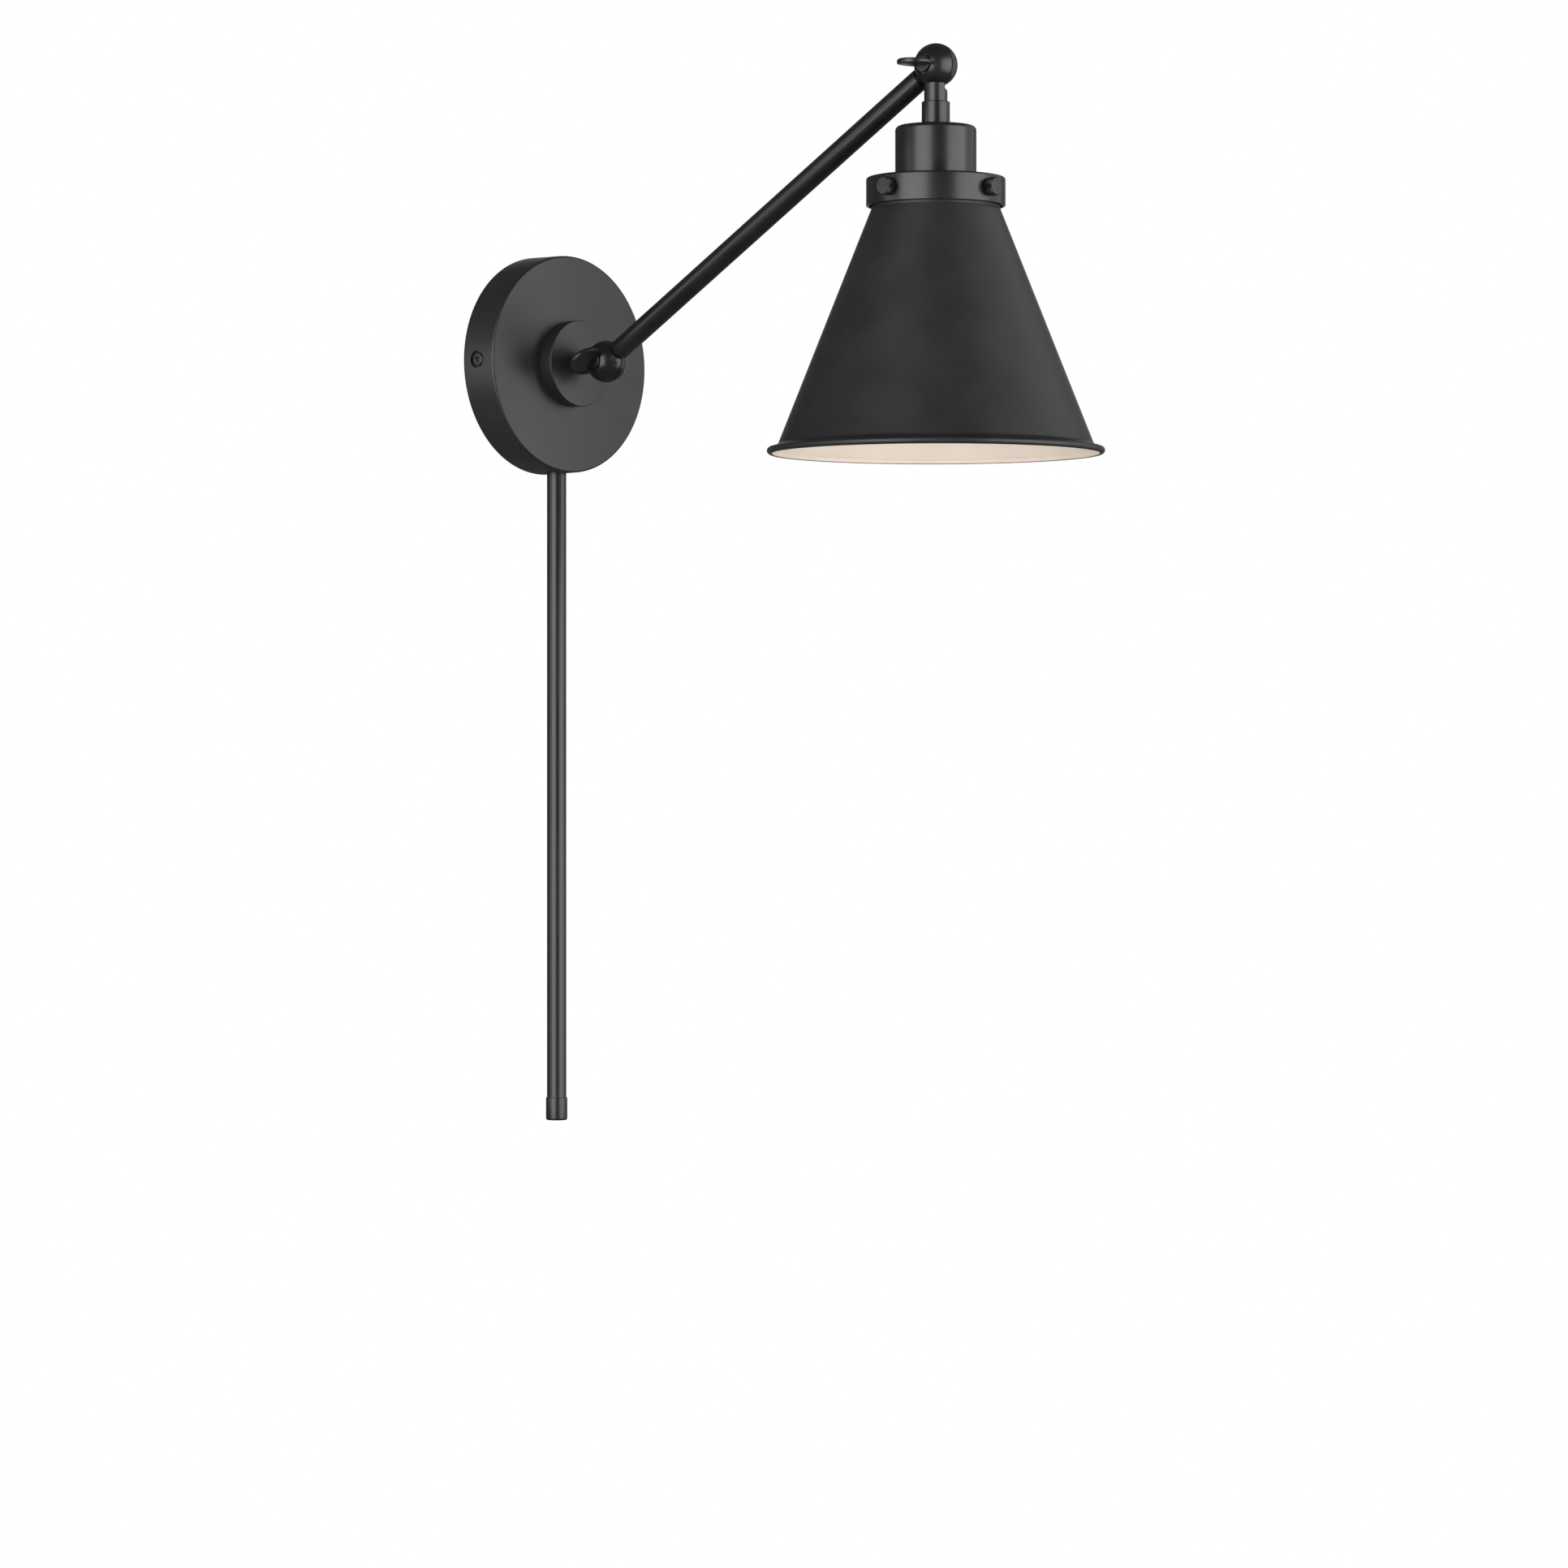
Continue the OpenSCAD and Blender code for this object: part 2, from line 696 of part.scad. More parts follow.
module lower_thumbscrew() {
    at_lower_ball() rotate([-lower_paddle_turn, 0, 0]) thumbscrew();
}

module upper_thumbscrew() {
    at_upper_ball() thumbscrew();
}

module lower_friction_washer() {
    at_lower_ball() friction_washer();
}

module upper_friction_washer() {
    at_upper_ball() friction_washer();
}

module arm_lower_knuckle() {
    color(black) along_arm() plugged_half();
}

module arm_tube() {
    color(black) along_arm()
        chamfered_pipe(arm_r, arm_bore_r, tube_start, arm_length - tube_start, small_chamfer);
}

module arm_leads() {
    for (side = [-1, 1]) color(side < 0 ? "white" : "black") along_arm()
        translate([lead_side, side * lead_offset, 0])
            pipe(lead_r, 0, lead_stop, arm_length - lead_stop);
}

module arm_upper_knuckle() {
    color(black) along_arm() translate([0, 0, arm_length]) mirror([0, 0, 1]) plugged_half();
}

module head_knuckle() {
    color(black) down_head() necked_half(head_neck_l, head_neck_l + tail_l, tail_r);
}

module neck_coupling() {
    color(black) down_head() difference() {
        chamfered_pipe(coupling_r, 0, head_neck_l, cup_top, small_chamfer);
        pipe(tail_r + thread_gap, 0, head_neck_l - skin, nipple_top);
        pipe(nipple_r + thread_gap, 0, nipple_top - nipple_gap, cup_top + skin);
    }
}

module head_nipple() {
    color(steel) down_head() pipe(nipple_r, wire_r, nipple_top, socket_top + socket_head_h - nipple_inset);
}

module nipple_nut() {
    color(steel) down_head()
        hex_nut(nipple_nut_flat, nipple_r + thread_gap, cup_top + cup_wall, cup_top + cup_wall + nipple_nut_h);
}

module socket_cup() {
    color(black) down_head() translate([0, 0, ring_top]) mirror([0, 0, 1]) difference() {
        rounded_block(cup_r, cup_h, cup_edge_r);
        pipe(cup_r - cup_wall, 0, -skin, cup_h - cup_wall);
        pipe(nipple_r + thread_gap, 0, 0, cup_h + skin);
    }
}

module head_leads() {
    for (side = [-1, 1]) color(side < 0 ? "white" : "black") down_head()
        translate([-lead_side, side * lead_offset, 0])
            pipe(lead_r, 0, lead_stop, socket_top + socket_head_h + socket_cavity_h);
}

module lamp_socket() {
    deck = socket_floor - socket_deck_h;
    color("ivory") down_head() difference() {
        pipe(socket_r, 0, socket_top, socket_bottom);
        pipe(nipple_r + thread_gap, 0, socket_top - skin, socket_top + socket_head_h);
        pipe(socket_bore_d / 2 - socket_step, 0, socket_top + socket_head_h, deck);
        pipe(contact_r / 2, 0, deck - skin, socket_floor + skin);
        pipe(socket_bore_d / 2 + socket_shell_t + thread_gap, 0, socket_floor, socket_bottom + skin);
    }
}

module socket_shell() {
    color(brass) down_head()
        pipe(socket_bore_d / 2 + socket_shell_t, socket_bore_d / 2, shell_top, shell_bottom);
}

module centre_contact() {
    color(brass) down_head() {
        pipe(contact_r / 2 - thread_gap, 0, socket_floor - socket_deck_h, socket_floor + contact_key);
        translate([0, 0, socket_floor]) cylinder(r1 = contact_r, r2 = contact_r / 2, h = contact_h);
    }
}

module socket_ring_nut() {
    nut_top = ring_top + ring_top_t;
    color("ivory") down_head()
        chamfered_pipe(socket_nut_r, socket_r + thread_gap, nut_top, nut_top + socket_nut_h,
            socket_nut_chamfer);
}

module shade_ring() {
    color(black) down_head() difference() {
        translate([0, 0, ring_top]) rotate_extrude() {
            square([ring_r - ring_edge_r, ring_h]);
            translate([0, ring_edge_r]) square([ring_r, ring_h - 2 * ring_edge_r]);
            translate([ring_r - ring_edge_r, ring_h - ring_edge_r]) quarter_disc(ring_edge_r);
            translate([ring_r - ring_edge_r, ring_edge_r]) mirror([0, 1]) quarter_disc(ring_edge_r);
        }
        pipe(ring_inner_r, 0, ring_top + ring_top_t, ring_bottom + skin);
        pipe(socket_r + pass_gap, 0, ring_top - skin, ring_top + ring_top_t + skin);
        for (i = [1 : knob_count]) rotate(i * knob_step) translate([0, 0, knob_z]) rotate([0, 90, 0])
            pipe(screw_r + run_gap, 0, ring_inner_r - 2 * skin, ring_r + skin);
    }
}

// The shade's sheet metal is the band between an outer line and the same line moved inwards
module shade() {
    collar_top = ring_top + ring_top_t;
    flare_r = bead_centre_r - flare_in;
    bend = cone_bottom + bend_h;
    flare = bead_centre - bead_r + flare_rise;
    color(black) down_head() rotate_extrude() {
        polygon([
            [shade_flange_in_r, collar_top], [collar_outer_r, collar_top], [collar_outer_r, cone_top],
            [cone_bottom_r, cone_bottom], [cone_bottom_r + bend_out[0], bend], [flare_r, flare],
            [bead_centre_r, bead_centre - bead_r], [bead_centre_r, bead_centre - bead_r + shade_wall],
            [flare_r, flare + shade_wall], [cone_bottom_r + bend_out[1], bend + shade_wall],
            [cone_bottom_r - shade_wall, cone_bottom], [collar_outer_r - shade_wall, cone_top],
            [collar_outer_r - shade_wall, collar_top + shade_wall],
            [shade_flange_in_r, collar_top + shade_wall]
        ]);
        translate([bead_centre_r, bead_centre]) circle(bead_r);
    }
}

// A knurled knob with its screw; knob 1 points along -X and the others follow round the ring
module shade_knob(number) {
    color(black) at_upper_ball() rotate(180 + (number - 1) * knob_step)
        translate([0, 0, -knob_z]) rotate([0, 90, 0]) {
            pipe(screw_r, 0, collar_outer_r + knob_gap, knob_back + skin);
            chamfered_pipe(knob_r, 0, knob_back, knob_back + knob_l, knob_chamfer);
        }
}

canopy();
mounting_bracket();
canopy_screws();
ground_screw();
hub_disc();
hub_lock_nut();
swivel_stop_pin();
cord_cover_tube();
tube_lock_nut();
tube_end_cap();
wire_connectors();
canopy_leads();
wall_knuckle();
swivel_washer();
swivel_nut();
lower_thumbscrew();
lower_friction_washer();
arm_lower_knuckle();
arm_tube();
arm_leads();
arm_upper_knuckle();
upper_friction_washer();
head_knuckle();
upper_thumbscrew();
neck_coupling();
head_nipple();
nipple_nut();
socket_cup();
head_leads();
lamp_socket();
socket_shell();
centre_contact();
socket_ring_nut();
shade_ring();
shade();
shade_knob(1);  // shade_knob_1
shade_knob(2);  // shade_knob_2
shade_knob(3);  // shade_knob_3
shade_knob(4);  // shade_knob_4
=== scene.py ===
"""Looks of a swing arm wall sconce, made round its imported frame.

Metres, +Z up. The wall is the plane y = 0 and the lamp stands out from it towards -Y.
"""
import json
import math

import bmesh
import bpy
from mathutils import Matrix, Vector


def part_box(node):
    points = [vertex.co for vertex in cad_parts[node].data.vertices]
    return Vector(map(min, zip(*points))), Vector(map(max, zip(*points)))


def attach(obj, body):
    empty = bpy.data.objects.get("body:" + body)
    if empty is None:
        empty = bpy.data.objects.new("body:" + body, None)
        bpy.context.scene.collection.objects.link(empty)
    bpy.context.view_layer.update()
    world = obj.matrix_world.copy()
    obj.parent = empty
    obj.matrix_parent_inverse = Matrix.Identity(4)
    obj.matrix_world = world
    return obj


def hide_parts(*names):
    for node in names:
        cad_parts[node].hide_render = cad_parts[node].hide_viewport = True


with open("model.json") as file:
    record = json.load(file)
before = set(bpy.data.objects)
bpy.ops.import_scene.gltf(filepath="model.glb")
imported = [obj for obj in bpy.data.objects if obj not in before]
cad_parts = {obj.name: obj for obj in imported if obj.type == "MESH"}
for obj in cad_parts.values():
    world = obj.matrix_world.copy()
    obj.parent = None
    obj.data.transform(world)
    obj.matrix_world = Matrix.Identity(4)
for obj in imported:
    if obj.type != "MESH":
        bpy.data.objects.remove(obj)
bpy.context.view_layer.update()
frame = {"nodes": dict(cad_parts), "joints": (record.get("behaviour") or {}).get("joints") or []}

MM = 0.001
TURN = 2 * math.pi

JOINT_AT = {joint["name"]: Vector(joint["pos_m"]) for joint in frame["joints"]}
LOWER_BALL = JOINT_AT["arm_tilt"]
UPPER_BALL = JOINT_AT["head_tilt"]

# Camera: level, in front of the lamp and to its left
CAMERA_AT = (-2.2376, -2.2430, -0.2517)
CAMERA_TURN = math.radians(-47.5)
CAMERA_LENS = 123.94
CAMERA_SHIFT_UP = 0.0075

# Studio
FLOOR_Z = -2.6
FLOOR_R = 5.0
FLOOR_FADE = (0.35 * FLOOR_R, 0.6 * FLOOR_R)
SEEN_WHITE = 1.0
DIM_LIGHT = 0.12
BOX_DISTANCE = 2.6
# Name: turn from the camera's direction to the right, rise in degrees, width, height, radiance
SOFTBOXES = {
    "left_box": (-36, 0, 2.3, 2.6, 4.1),
    "left_fill": (-81, -2, 1.0, 1.2, 1.7),
    "right_box": (61, 0, 2.9, 2.6, 3.4),
    "right_far_box": (112, 8, 2.0, 3.0, 0.7),
    "back_box": (175, 10, 1.8, 1.8, 0.5),
}

# Finishes
MASK_LOW, MASK_HIGH = 0.3, 0.7
UNEVEN_SCALE = 45.0
WIDE_STREAKS = 0.22

# Fineness of turned pieces
STEPS_ROUND = 128
FINE_STEPS = 96
LARGE_STEPS = 192
CANOPY_STEPS = 256
SCREW_STEPS = 64
EASE_STEPS = 5
CREASE = math.radians(32)
MERGE = 0.0005 * MM

# Sizes that the frame's boxes don't tell
EDGE_EASE = 0.5 * MM
SMALL_EASE = 0.3 * MM
SHEET = 0.8 * MM
CUP_WALL = 1.2 * MM
RING_WALL = 1.5 * MM
TUBE_WALL = 1.0 * MM
CUP_EDGE = 2.6 * MM
RING_EDGE = 1.2 * MM
NIPPLE_R = 5.0 * MM
FLANGE_GAP = 2.0 * MM
FLANGE_EASE = 1.5 * MM
CONE_TOP_EASE = 1.5 * MM
CONE_INNER_EASE = 4.0 * MM
CONE_INNER_DROP = 0.2 * MM
FLARE_EASE = 3.0 * MM
RING_HOLE_GAP = 0.4 * MM
CONE_TOP_R = 35.3 * MM
CONE_TOP_BELOW_RING = 1.2 * MM
CONE_BOTTOM_R = 86.7 * MM
CONE_BOTTOM_ABOVE_BEAD = 1.4 * MM
BEAD_R = 1.9 * MM
BEAD_JOIN = 0.6 * MM
ROLL_FROM, ROLL_TO = math.radians(-95), math.radians(215)
ROLL_STEPS = 20
ROLL_STEPS_PAINTED = 14
KNOB_COUNT = 4
KNOB_TEETH = 40
STEPS_PER_TOOTH = 6
KNOB_BEVEL = 0.5 * MM
KNOB_DOME = 0.02 * MM
KNOB_FACE_IN = 0.9 * MM
KNOB_TOOTH = 0.28 * MM
KNOB_R = 5.0 * MM
KNOB_L = 5.4 * MM
KNOB_STANDOFF = 0.3 * MM
KNOB_SCREW_R = 2.0 * MM
SEAT_X = 9.71 * MM
COLLAR_R = 4.8 * MM
COLLAR_H = 1.9 * MM
SHANK_R = 2.5 * MM
SHANK_IN = 7.4 * MM
PADDLE_REACH = 20 * MM
PADDLE_LENGTH = 19.4 * MM
PADDLE_CENTRE = 17.5 * MM
PADDLE_T = 3.0 * MM
PADDLE_TIP_T = 2.1 * MM
PADDLE_ROUND = 0.7 * MM
PADDLE_SINK = 0.4 * MM
PADDLE_CORNER = 0.8 * MM
PADDLE_OFF_CENTRE = 1.5 * MM
PADDLE_STEPS = 44
PADDLE_ROWS = (0.8, 0.6, 0.4, 0.2)
LOWER_PADDLE_TURN = math.radians(40)
SCREW_R = 2.0 * MM
SCREW_HEAD_R = 4.0 * MM
SCREW_HEAD_H = 1.3 * MM
SCREW_HEAD_EASE = 0.7 * MM
SCREW_HOLE_R = 2.4 * MM
SIDE_SCREW_L = 6.2 * MM
CUT_CLEAR = 10 * MM
# Cross recess: height over the head, half length and half width, at the top and at the bottom
RECESS_ENDS = ((0.3, 2.5, 0.62), (-0.9, 0.9, 0.3))
RECESS_TURN = math.radians(25)
CANOPY_WALL = 1.2 * MM
CANOPY_DRAFT = 0.4 * MM
CANOPY_EDGE = 1.4 * MM
CANOPY_INNER_EASE = 1.2 * MM
HUB_HOLE_R = 8.2 * MM
HUB_BOSS_R = 8.0 * MM
SPIGOT_R = 5.05 * MM
SIDE_SCREW_W = 10.4 * MM
SIDE_SEAT_R = 5.0 * MM
SIDE_SEAT_X = 61.7 * MM
SIDE_SEAT_DEPTH = 1.6 * MM
SEAT_BOSS_R = 6.0 * MM
CONNECTOR_ANGLES = (200, 222, 244)
CONNECTOR_RING = 40.85 * MM
CONNECTOR_FROM = 3.4 * MM
CONNECTOR_TIP_R = 3.6 * MM
CONNECTOR_MOUTH_R = 5.2 * MM
CONNECTOR_L = 15 * MM
CONNECTOR_FLOOR = 8 * MM
CONNECTOR_TIP_EASE = 1.4 * MM
CONNECTOR_LIP = 0.4 * MM
CONNECTOR_RIBS = 16
CONNECTOR_RIB = 0.35 * MM
CORD_HOLE_R = 3.3 * MM
RUN_GAP = 0.05 * MM
CORD_HOLE_EASE = 0.4 * MM
CAP_EASE = 1.2 * MM
ARM_R = 6.0 * MM
TUBE_START = 12.18 * MM
SHELL_T = 0.6 * MM
THREAD_STEPS = 66
THREAD_PITCH = 3.63 * MM
THREAD_DEPTH = 0.3 * MM
THREAD_GAP = 0.02 * MM
NUT_RIBS = 32
NUT_RIB = 0.7 * MM

# Places: local +Z is depth below the upper ball, distance from the wall, or length along the arm
HEAD = Matrix.Translation(UPPER_BALL) @ Matrix.Rotation(math.pi, 4, "X")
WALL = Matrix.Rotation(math.pi / 2, 4, "X")
ARM_AXIS = (UPPER_BALL - LOWER_BALL).normalized()
ARM = Matrix.Translation(LOWER_BALL) @ Matrix.Rotation(math.atan2(-ARM_AXIS.y, ARM_AXIS.z), 4, "X")


# ---------------------------------------------------------------- nodes

def add(tree, kind, inputs=None, **options):
    """Adds a node. An input is a plain value or another node's output."""
    node = tree.nodes.new(kind)
    for key, value in options.items():
        setattr(node, key, value)
    for key, value in (inputs or {}).items():
        if isinstance(value, bpy.types.NodeSocket):
            tree.links.new(value, node.inputs[key])
        else:
            node.inputs[key].default_value = value
    return node


def calc(tree, operation, *values):
    """A Math node's result."""
    return add(tree, "ShaderNodeMath", dict(enumerate(values)), operation=operation).outputs[0]


def sockets(tree, way, **kinds):
    """Gives a node group its named inputs or outputs. An underscore in a name stands for a space."""
    for name, kind in kinds.items():
        tree.interface.new_socket(name.replace("_", " "), in_out=way, socket_type="NodeSocket" + kind)


# ---------------------------------------------------------------- turned pieces

def turned_tree():
    """Turns an outline, with X as radius and Z as height, round the Z axis.

    Where the outline's grip is 1, teeth run along the axis and a rolled thread winds round it.
    """
    tree = bpy.data.node_groups.new("turned", "GeometryNodeTree")
    sockets(tree, "INPUT", Outline="Geometry", Steps="Int", Teeth="Int", Tooth_depth="Float",
            Thread_pitch="Float", Thread_depth="Float", Crease="Float", Merge="Float",
            Finish="Material", Inner_finish="Material")
    sockets(tree, "OUTPUT", Piece="Geometry")
    given = add(tree, "NodeGroupInput").outputs
    outline = given["Outline"]
    count = add(tree, "GeometryNodeAttributeDomainSize", {0: outline}).outputs["Point Count"]
    index = add(tree, "GeometryNodeInputIndex").outputs[0]
    step = calc(tree, "FLOOR", calc(tree, "DIVIDE", index, count))
    point = calc(tree, "MODULO", index, count)

    def from_outline(value, data_type):
        node = add(tree, "GeometryNodeSampleIndex", data_type=data_type, domain="POINT")
        for key, link in (("Geometry", outline), ("Value", value), ("Index", point)):
            tree.links.new(link, node.inputs[key])
        return node.outputs[0]

    def named(name):
        return add(tree, "GeometryNodeInputNamedAttribute", {"Name": name}, data_type="FLOAT").outputs[0]

    place = from_outline(add(tree, "GeometryNodeInputPosition").outputs[0], "FLOAT_VECTOR")
    grip = from_outline(named("grip"), "FLOAT")
    inner = from_outline(named("inner"), "FLOAT")
    at = add(tree, "ShaderNodeSeparateXYZ", {0: place}).outputs
    share = calc(tree, "DIVIDE", step, given["Steps"])
    angle = calc(tree, "MULTIPLY", share, TURN)
    tooth = calc(tree, "PINGPONG", calc(tree, "MULTIPLY", share, given["Teeth"]), 0.5)
    tooth_cut = calc(tree, "MULTIPLY", calc(tree, "MULTIPLY", tooth, 2.0), given["Tooth depth"])
    turns = calc(tree, "ADD", calc(tree, "DIVIDE", at["Z"], given["Thread pitch"]), share)
    wave = calc(tree, "COSINE", calc(tree, "MULTIPLY", turns, TURN))
    thread_cut = calc(tree, "MULTIPLY", calc(tree, "MULTIPLY_ADD", wave, 0.5, 0.5), given["Thread depth"])
    cut = calc(tree, "MULTIPLY", grip, calc(tree, "ADD", tooth_cut, thread_cut))
    radius = calc(tree, "SUBTRACT", at["X"], cut)
    spot = add(tree, "ShaderNodeCombineXYZ", {
        "X": calc(tree, "MULTIPLY", radius, calc(tree, "COSINE", angle)),
        "Y": calc(tree, "MULTIPLY", radius, calc(tree, "SINE", angle)),
        "Z": at["Z"],
    }).outputs[0]
    grid = add(tree, "GeometryNodeMeshGrid", {
        "Vertices X": calc(tree, "ADD", given["Steps"], 1.0), "Vertices Y": count,
    }).outputs["Mesh"]
    marked = add(tree, "GeometryNodeStoreNamedAttribute", {
        "Geometry": grid, "Name": "inner_face", "Value": inner,
    }, data_type="FLOAT", domain="POINT").outputs[0]
    formed = add(tree, "GeometryNodeSetPosition", {"Geometry": marked, "Position": spot}).outputs[0]
    closed = add(tree, "GeometryNodeMergeByDistance", {0: formed, "Distance": given["Merge"]}).outputs[0]
    smooth = add(tree, "GeometryNodeSetShadeSmooth", {0: closed, "Shade Smooth": True}, domain="FACE")
    bend = add(tree, "GeometryNodeInputMeshEdgeAngle").outputs["Unsigned Angle"]
    sharp = add(tree, "GeometryNodeSetShadeSmooth", {
        0: smooth.outputs[0], "Selection": calc(tree, "GREATER_THAN", bend, given["Crease"]),
        "Shade Smooth": False,
    }, domain="EDGE")
    real = add(tree, "GeometryNodeRealizeInstances", {0: sharp.outputs[0]}).outputs[0]
    coated = add(tree, "GeometryNodeSetMaterial", {0: real, "Material": given["Finish"]}).outputs[0]
    lined = add(tree, "GeometryNodeSetMaterial", {
        0: coated, "Selection": calc(tree, "GREATER_THAN", named("inner_face"), 0.75),
        "Material": given["Inner finish"],
    }).outputs[0]
    out = add(tree, "NodeGroupOutput")
    tree.links.new(lined, out.inputs[0])
    return tree


def eased(corners, closed=True):
    """Points of an outline. A corner is (x, z), or (x, z, r) to round it with that radius."""
    points = []
    count = len(corners)
    for i, corner in enumerate(corners):
        here = Vector(corner[:2])
        if len(corner) < 3 or (not closed and i in (0, count - 1)):
            points.append(here)
            continue
        back = (Vector(corners[i - 1][:2]) - here).normalized()
        ahead = (Vector(corners[(i + 1) % count][:2]) - here).normalized()
        half = back.angle(ahead) / 2
        middle = here + (back + ahead).normalized() * corner[2] / math.sin(half)
        start = here + back * corner[2] / math.tan(half) - middle
        sweep = start.angle_signed(here + ahead * corner[2] / math.tan(half) - middle)
        for k in range(EASE_STEPS + 1):
            turned_start = start.copy()
            turned_start.rotate(Matrix.Rotation(-sweep * k / EASE_STEPS, 2))
            points.append(middle + turned_start)
    return points


def turned_mesh(outline, place, finish, inner_finish=None, steps=STEPS_ROUND, inner=(), grip=(), **sizes):
    """The mesh of a turned piece. inner and grip hold the numbers of the outline's marked points."""
    mesh = bpy.data.meshes.new("outline")
    mesh.from_pydata([(p[0], 0, p[1]) for p in outline], [(i, i + 1) for i in range(len(outline) - 1)], [])
    for name, marked in (("inner", inner), ("grip", grip)):
        attribute = mesh.attributes.new(name, "FLOAT", "POINT")
        for i in marked:
            attribute.data[i].value = 1.0
    source = bpy.data.objects.new("outline", mesh)
    bpy.context.scene.collection.objects.link(source)
    modifier = source.modifiers.new("turned", "NODES")
    modifier.node_group = TURNED
    values = {
        "Steps": steps, "Teeth": 0, "Tooth depth": 0.0, "Thread pitch": 1.0, "Thread depth": 0.0,
        "Crease": CREASE, "Merge": MERGE, "Finish": finish, "Inner finish": inner_finish or finish,
    }
    values.update({key.replace("_", " "): value for key, value in sizes.items()})
    for item in TURNED.interface.items_tree:
        if item.in_out == "INPUT" and item.name in values:
            modifier[item.identifier] = values[item.name]
    return made_plain(source, place)


def made_plain(source, place):
    """Turns an object with modifiers into a plain mesh at its place, and removes the object."""
    bpy.context.view_layer.update()
    depsgraph = bpy.context.evaluated_depsgraph_get()
    result = bpy.data.meshes.new_from_object(source.evaluated_get(depsgraph))
    result.transform(place)
    bpy.data.objects.remove(source)
    return result


def piece(name, mesh, body, slot, *nodes):
    """A finished piece that rides on a body and stands for CAD nodes."""
    mesh.name = name
    obj = bpy.data.objects.new(name, mesh)
    bpy.context.scene.collection.objects.link(obj)
    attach(obj, body)
    if nodes:
        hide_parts(*nodes)


def joined(*meshes):
    """One mesh made of several, each with its own finishes kept."""
    work = bmesh.new()
    finishes = []
    for mesh in meshes:
        first = len(work.faces)
        base = len(finishes)
        finishes += list(mesh.materials)
        work.from_mesh(mesh)
        work.faces.ensure_lookup_table()
        for face in work.faces[first:]:
            face.material_index += base
    result = bpy.data.meshes.new("joined")
    work.to_mesh(result)
    work.free()
    for finish in finishes:
        result.materials.append(finish)
    return result


def depths(node):
    """A head node's outer radius and its two depths below the upper ball."""
    low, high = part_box(node)
    return (high.x - low.x) / 2, UPPER_BALL.z - high.z, UPPER_BALL.z - low.z


def creased(mesh):
    """Shades a mesh smoothly between its sharper edges."""
    work = bmesh.new()
    work.from_mesh(mesh)
    for face in work.faces:
        face.smooth = True
    for edge in work.edges:
        edge.smooth = edge.calc_face_angle(math.pi) < CREASE
    work.to_mesh(mesh)
    work.free()
    return mesh


def combined(mesh, cuts=(), additions=()):
    """A mesh with others added to it, then others cut out of it."""
    source = bpy.data.objects.new("combined", mesh)
    bpy.context.scene.collection.objects.link(source)
    tools = []
    for operation, shapes in (("UNION", additions), ("DIFFERENCE", cuts)):
        for shape in shapes:
            tool = bpy.data.objects.new("tool", shape)
            bpy.context.scene.collection.objects.link(tool)
            tools.append(tool)
            modifier = source.modifiers.new(operation, "BOOLEAN")
            modifier.operation = operation
            modifier.solver = "EXACT"
            modifier.object = tool
    result = creased(made_plain(source, Matrix()))
    for tool in tools:
        bpy.data.objects.remove(tool)
    return result


# ---------------------------------------------------------------- finishes

def grain_group():
    """Fine pebbling of a sprayed or moulded skin, with a slow unevenness under it."""
    tree = bpy.data.node_groups.new("grain", "ShaderNodeTree")
    sockets(tree, "INPUT", Vector="Vector", Fine_scale="Float", Slow_scale="Float")
    sockets(tree, "OUTPUT", Height="Float", Unevenness="Float")
    given = add(tree, "NodeGroupInput").outputs
    fine = add(tree, "ShaderNodeTexNoise", {
        "Vector": given["Vector"], "Scale": given["Fine scale"], "Detail": 3.0, "Roughness": 0.6,
    }).outputs[0]
    slow = add(tree, "ShaderNodeTexNoise", {
        "Vector": given["Vector"], "Scale": given["Slow scale"], "Detail": 2.0, "Roughness": 0.5,
    }).outputs[0]
    out = add(tree, "NodeGroupOutput")
    tree.links.new(calc(tree, "MULTIPLY_ADD", slow, 0.6, fine), out.inputs["Height"])
    tree.links.new(slow, out.inputs["Unevenness"])
    return tree


def lines_group():
    """Fine lines across one axis, as drawing, rolling or turning leaves them."""
    tree = bpy.data.node_groups.new("lines", "ShaderNodeTree")
    sockets(tree, "INPUT", Vector="Vector", Along="Vector", Scale="Float")
    sockets(tree, "OUTPUT", Height="Float", Streaks="Float")
    given = add(tree, "NodeGroupInput").outputs
    squeezed = add(tree, "ShaderNodeVectorMath", {0: given["Vector"], 1: given["Along"]},
                   operation="MULTIPLY").outputs[0]
    fine = add(tree, "ShaderNodeTexNoise", {
        "Vector": squeezed, "Scale": given["Scale"], "Detail": 4.0, "Roughness": 0.65}).outputs[0]
    wide_scale = calc(tree, "MULTIPLY", given["Scale"], WIDE_STREAKS)
    wide = add(tree, "ShaderNodeTexNoise", {
        "Vector": squeezed, "Scale": wide_scale, "Detail": 2.0,
    }).outputs[0]
    out = add(tree, "NodeGroupOutput")
    tree.links.new(calc(tree, "MULTIPLY_ADD", wide, 0.5, fine), out.inputs["Height"])
    tree.links.new(wide, out.inputs["Streaks"])
    return tree


def new_material(name):
    """A material with its tree, its shader and the object's own coordinates."""
    material = bpy.data.materials.new(name)
    material.use_nodes = True
    tree = material.node_tree
    shader = tree.nodes["Principled BSDF"]
    where = add(tree, "ShaderNodeTexCoord").outputs["Object"]
    return material, tree, shader, where


def between(tree, mask, low, high):
    """A value that goes from low to high across a mask's middle."""
    return add(tree, "ShaderNodeMapRange", {
        "Value": mask, "From Min": MASK_LOW, "From Max": MASK_HIGH, "To Min": low, "To Max": high,
    }).outputs[0]


